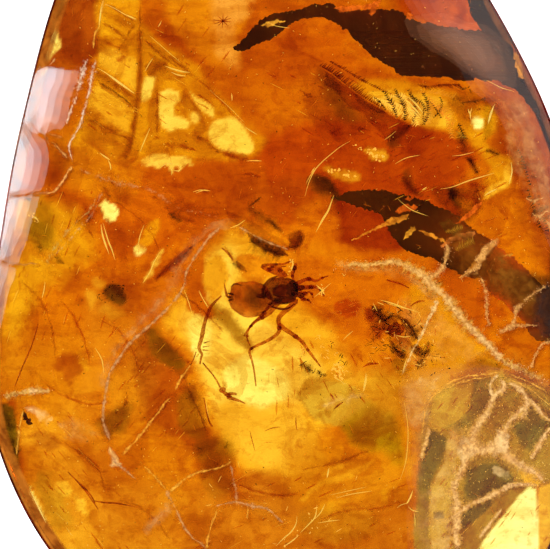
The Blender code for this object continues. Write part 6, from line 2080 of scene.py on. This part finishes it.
# %% A Geometry Nodes tree for scattered bits
def scatter_tree():
    """Zones in, scattered crystals out: detail, chance, spread in height and seed are inputs."""
    inputs = [
        ("Detail", "Int", 1), ("Chance", "Float", 3.0), ("Lift", "Float", 0.2),
        ("Height", "Float", 0.0003), ("Seed", "Int", 0), ("Finish", "Material", None),
    ]
    wire = Wiring("bits_in_zones", inputs)
    take, seed = wire.take, wire.take["Seed"]
    thrown = wire.node("GeometryNodeDistributePointsOnFaces", {
        "Mesh": take["Geometry"], "Density": wire.attribute("crowd"), "Seed": seed,
    })
    lift = wire.node("ShaderNodeCombineXYZ", {"Z": wire.wobble(take["Height"], seed, 5)})
    spread = wire.node("GeometryNodeSetPosition", {
        "Geometry": thrown.outputs[0], "Offset": lift.outputs[0],
    })
    turn = wire.maths("ADD", wire.attribute("lean"), wire.wobble(take["Chance"], seed, 1))
    right, up = (wire.maths(operation, turn, 0.0) for operation in ("COSINE", "SINE"))
    aim = wire.node("ShaderNodeCombineXYZ", {
        "X": right, "Y": up, "Z": wire.wobble(take["Lift"], seed, 2),
    })
    bit = wire.node("GeometryNodeMeshIcoSphere", {"Subdivisions": take["Detail"], "Radius": 0.5})
    thick = wire.maths("MULTIPLY", wire.attribute("girth"), wire.chance(0.5, 1.4, seed, 3))
    long = wire.maths("MULTIPLY", wire.attribute("size"), wire.chance(0.3, 1.4, seed, 4))
    return wire.plant(spread.outputs[0], bit, aim, thick, long)


def zones_mesh(zones):
    """Flat zones from (outline, height, bits per square mm, length, thickness, lean in degrees)."""
    points, faces, columns = [], [], {"crowd": [], "size": [], "girth": [], "lean": []}
    for outline, height, crowd, size, girth, lean in zones:
        ring = np.array(outline, float)
        placed = sealed(ring[:, 0], ring[:, 1], height) * MM
        first = len(points)
        points += [tuple(p) for p in placed]
        filled = tessellate_polygon([[Vector(p) for p in placed]])
        faces += [tuple(first + i for i in triangle) for triangle in filled]
        row = {"crowd": crowd / MM**2, "size": size * MM, "girth": girth * MM, "lean": math.radians(lean)}
        for label, value in row.items():
            columns[label] += [value] * len(ring)
    return source_mesh("zones", points, [], faces, columns)


bits = scatter_tree()


def scatter_piece(name, zones, finish, seed, height=0.25, chance=3.14, tint=None):
    """Bits scattered in zones, spread in height by up to `height`, as a piece."""
    values = {"Detail": 1, "Chance": chance, "Lift": 0.3, "Height": height * MM}
    piece = grow(name, bits, zones_mesh(zones), values | {"Seed": seed, "Finish": finish})
    if tint:
        paint(piece.data, [tint] * len(piece.data.vertices))
    settle(piece)

# %% Crumbs, splinters, hairs and dust
WHOLE = trace("-856,1190 416,320 760,20 360,-340 320,-760 48,-600 0,-720 -248,-480 -760,-200 -640,160"
    " -360,400 -120,360 0,480 160,720")
GOLD_ZONES = [
    # outline, height, bits per square millimetre, length, thickness, direction in degrees
    (trace("296,430 32,12 32,-16 24,-28 -24,-16 -32,12"), 5.0, 70, 0.12, 0.09, -30),
    (trace("136,358 56,0 56,-12 24,-16 -24,-16 -56,4"), 5.0, 46, 0.12, 0.09, -10),
    (trace("216,462 32,4 48,-28 -8,-12 -48,20"), 5.0, 40, 0.1, 0.06, -20),
    (trace("108,-114 20,8 12,-40 -12,-16 -16,24"), 5.4, 90, 0.12, 0.05, 0),
    (trace("-4,-2 16,8 4,-32 -8,-44 -12,12"), 5.4, 90, 0.12, 0.05, 0),
    (trace("160,-426 32,8 28,-40 -12,-48 -32,24"), 5.2, 70, 0.13, 0.075, 60),
    (trace("88,-322 32,16 64,-72 48,-64 16,-56 -32,-16 -48,48 -48,72"), 5.2, 30, 0.14, 0.03, 0),
    (trace("32,-1050 32,48 64,16 32,-24 -48,-72 -48,-64 -56,-32 -56,16 24,56"), 5.2, 6, 0.14, 0.04, 40),
    (trace("328,-170 232,0 48,-160 -24,-104 -144,0 -112,64"), 5.2, 5, 0.24, 0.03, 60),
    (trace("24,-350 28,20 20,-40 -16,-32 -28,12"), 5.2, 50, 0.12, 0.035, 0),
    (trace("-1052,174 44,4 8,-36 -32,-8"), 4.6, 50, 0.1, 0.03, 0),
    (trace("-440,-850 280,80 600,-120 0,-320 -1000,0"), 5.0, 0.5, 0.24, 0.02, 30),
    (trace("536,-490 184,48 200,-32 120,-64 8,-352 -208,0 -160,-200 -120,-40 -40,280"), 5.3, 16, 0.035,
        0.03, 0),
    (trace("376,-458 112,24 112,56 120,-8 -40,-72 -120,-48 -88,-64"), 5.3, 12, 0.035, 0.03, 0),
    (WHOLE, 4.6, 1.7, 0.06, 0.018, 40),
]
DARK_ZONES = [
    (trace("352,-186 40,16 96,-48 96,-128 24,-88 -72,-24 -80,40 -80,40 -48,88"), 5.0, 16, 0.26, 0.03, 30),
    (trace("288,-278 56,8 40,-60 -8,-68 -40,4 -40,48"), 5.1, 26, 0.3, 0.02, 70),
    (trace("36,-418 28,4 84,-48 -28,-16 -72,16"), 5.0, 34, 0.2, 0.035, 20),
    (trace("500,-378 108,8 40,-88 -88,-16"), 5.0, 14, 0.12, 0.04, 0),
    (trace("-776,-154 64,56 64,-16 -8,-48 -72,-32"), 4.8, 40, 0.12, 0.04, 0),
    (trace("152,-322 96,-96 -32,-32 -80,80"), 5.1, 18, 0.2, 0.025, 120),
    (WHOLE, 4.4, 0.7, 0.08, 0.03, 40),
]
EMBER_ZONES = [
    (trace("160,-130 168,0 0,-160 -112,-24 -64,104"), 5.0, 10, 0.3, 0.03, 100),
    (trace("328,-170 272,0 32,-280 -272,16"), 5.1, 9, 0.3, 0.03, 40),
    (WHOLE, 4.2, 1.0, 0.35, 0.014, 48),
]
# gold crumbs and ember splinters glow by themselves: painted glints
scatter_piece("gold_crumbs", GOLD_ZONES, painted_glow_material("crumb_gold", (1.0, 0.6, 0.12), 0.85), 3)
scatter_piece("dark_crumbs", DARK_ZONES, shard_bark, 9, tint=WHITE)
scatter_piece("ember_splinters", EMBER_ZONES, painted_glow_material("ember_glow", (0.8, 0.2, 0.012), 0.6), 12)

# %% Streaks that run one way, and crumbs along the pale fractures
TUFTS = [
    *fringe(trace("664,30 20,12 24,12 24,12"), ((0.16, 0.3, 0.2), 60), ((0.1, 0.2, 0.16), -60)),
    *fringe(trace("624,102 20,4 20,8 24,4"), ((0.1, 0.2, 0.12), 60), ((0.08, 0.16, 0.1), -60)),
    (trace("664,502 16,-12 16,-12"), (0.12, 0.2, 0.14), 60),
]
STREAK_ZONES = [
    # outline, streaks per square millimetre, length, direction in degrees
    (trace("-760,1030 160,-40 240,-200 248,-280 -48,-120 -400,-20 -240,60 0,360"), 0.4, 0.5, -35),
    (trace("-560,1190 400,0 -40,-440 -160,-40"), 0.5, 0.5, 55),
    (trace("-120,790 560,-120 80,-160 -480,-80 -240,120"), 0.6, 0.5, -33),
    (trace("-1080,230 360,40 40,-560 -440,-40"), 0.9, 0.5, 68),
    (trace("-720,-290 360,80 0,-560 -320,-40"), 0.9, 0.5, 50),
    (trace("-1104,-650 384,80 80,-640 -208,-40"), 1.0, 0.5, -48),
    (trace("-360,-890 840,40 0,-520 -920,0"), 0.4, 0.6, 26),
    (trace("-72,-410 128,0 -16,-200 -96,0"), 2.5, 0.5, 95),
    (trace("520,-530 516,40 0,-676 -516,0"), 1.0, 0.4, 52),
    (trace("160,510 680,40 40,-560 -440,240"), 1.2, 0.5, 25),
    (trace("40,-290 400,-120 0,-160 -400,0"), 2.0, 0.5, 120),
]


def streak_zones(height, share, thickness):
    """The zones of the streaks at one height, with a share of their crowd."""
    return [(outline, height, crowd * share, length, thickness, lean)
            for outline, crowd, length, lean in STREAK_ZONES]


def band_outline(path, width):
    """The outline of a band along a path."""
    fine = smooth_curve(path, 3)
    across = to_the_left(unit(np.gradient(fine, axis=0))) * width / 2
    return np.concatenate((fine + across, (fine - across)[::-1]))


STREAK_BROWN = (0.86, 0.64, 0.36)
# olive tufts, frost crumbs and gold streaks glow by themselves: painted glints
tuft_olive = painted_glow_material("tuft_olive", (0.5, 0.26, 0.02), 0.55)
frost_crumb = painted_glow_material("frost_crumb", (0.9, 0.5, 0.2), 0.8)
streak_gold = painted_glow_material("streak_gold", (0.95, 0.5, 0.04), 0.75)
streak_film = film_material("streak_film", 2500.0)
blades_piece("olive_tufts", TUFTS, 5.1, tuft_olive, 31, 0.07, 0.026, 0.3)
FROST_ZONES = [
    (band_outline(path, 0.05 + max(widths) / 70), float(np.mean(height)), 60, 0.04, 0.026, 0)
    for tint, widths, height, cover, rough, path in FRACTURES
    if tint == PEACH and max(widths) > 8
]
scatter_piece("frost_crumbs", FROST_ZONES, frost_crumb, 21, 0.12)
scatter_piece("gold_streaks", streak_zones(5.0, 0.45, 0.014), streak_gold, 22, 0.3, 0.12)
scatter_piece("brown_streaks", streak_zones(4.2, 1.6, 0.06), streak_film, 23, 0.3, 0.1, STREAK_BROWN)
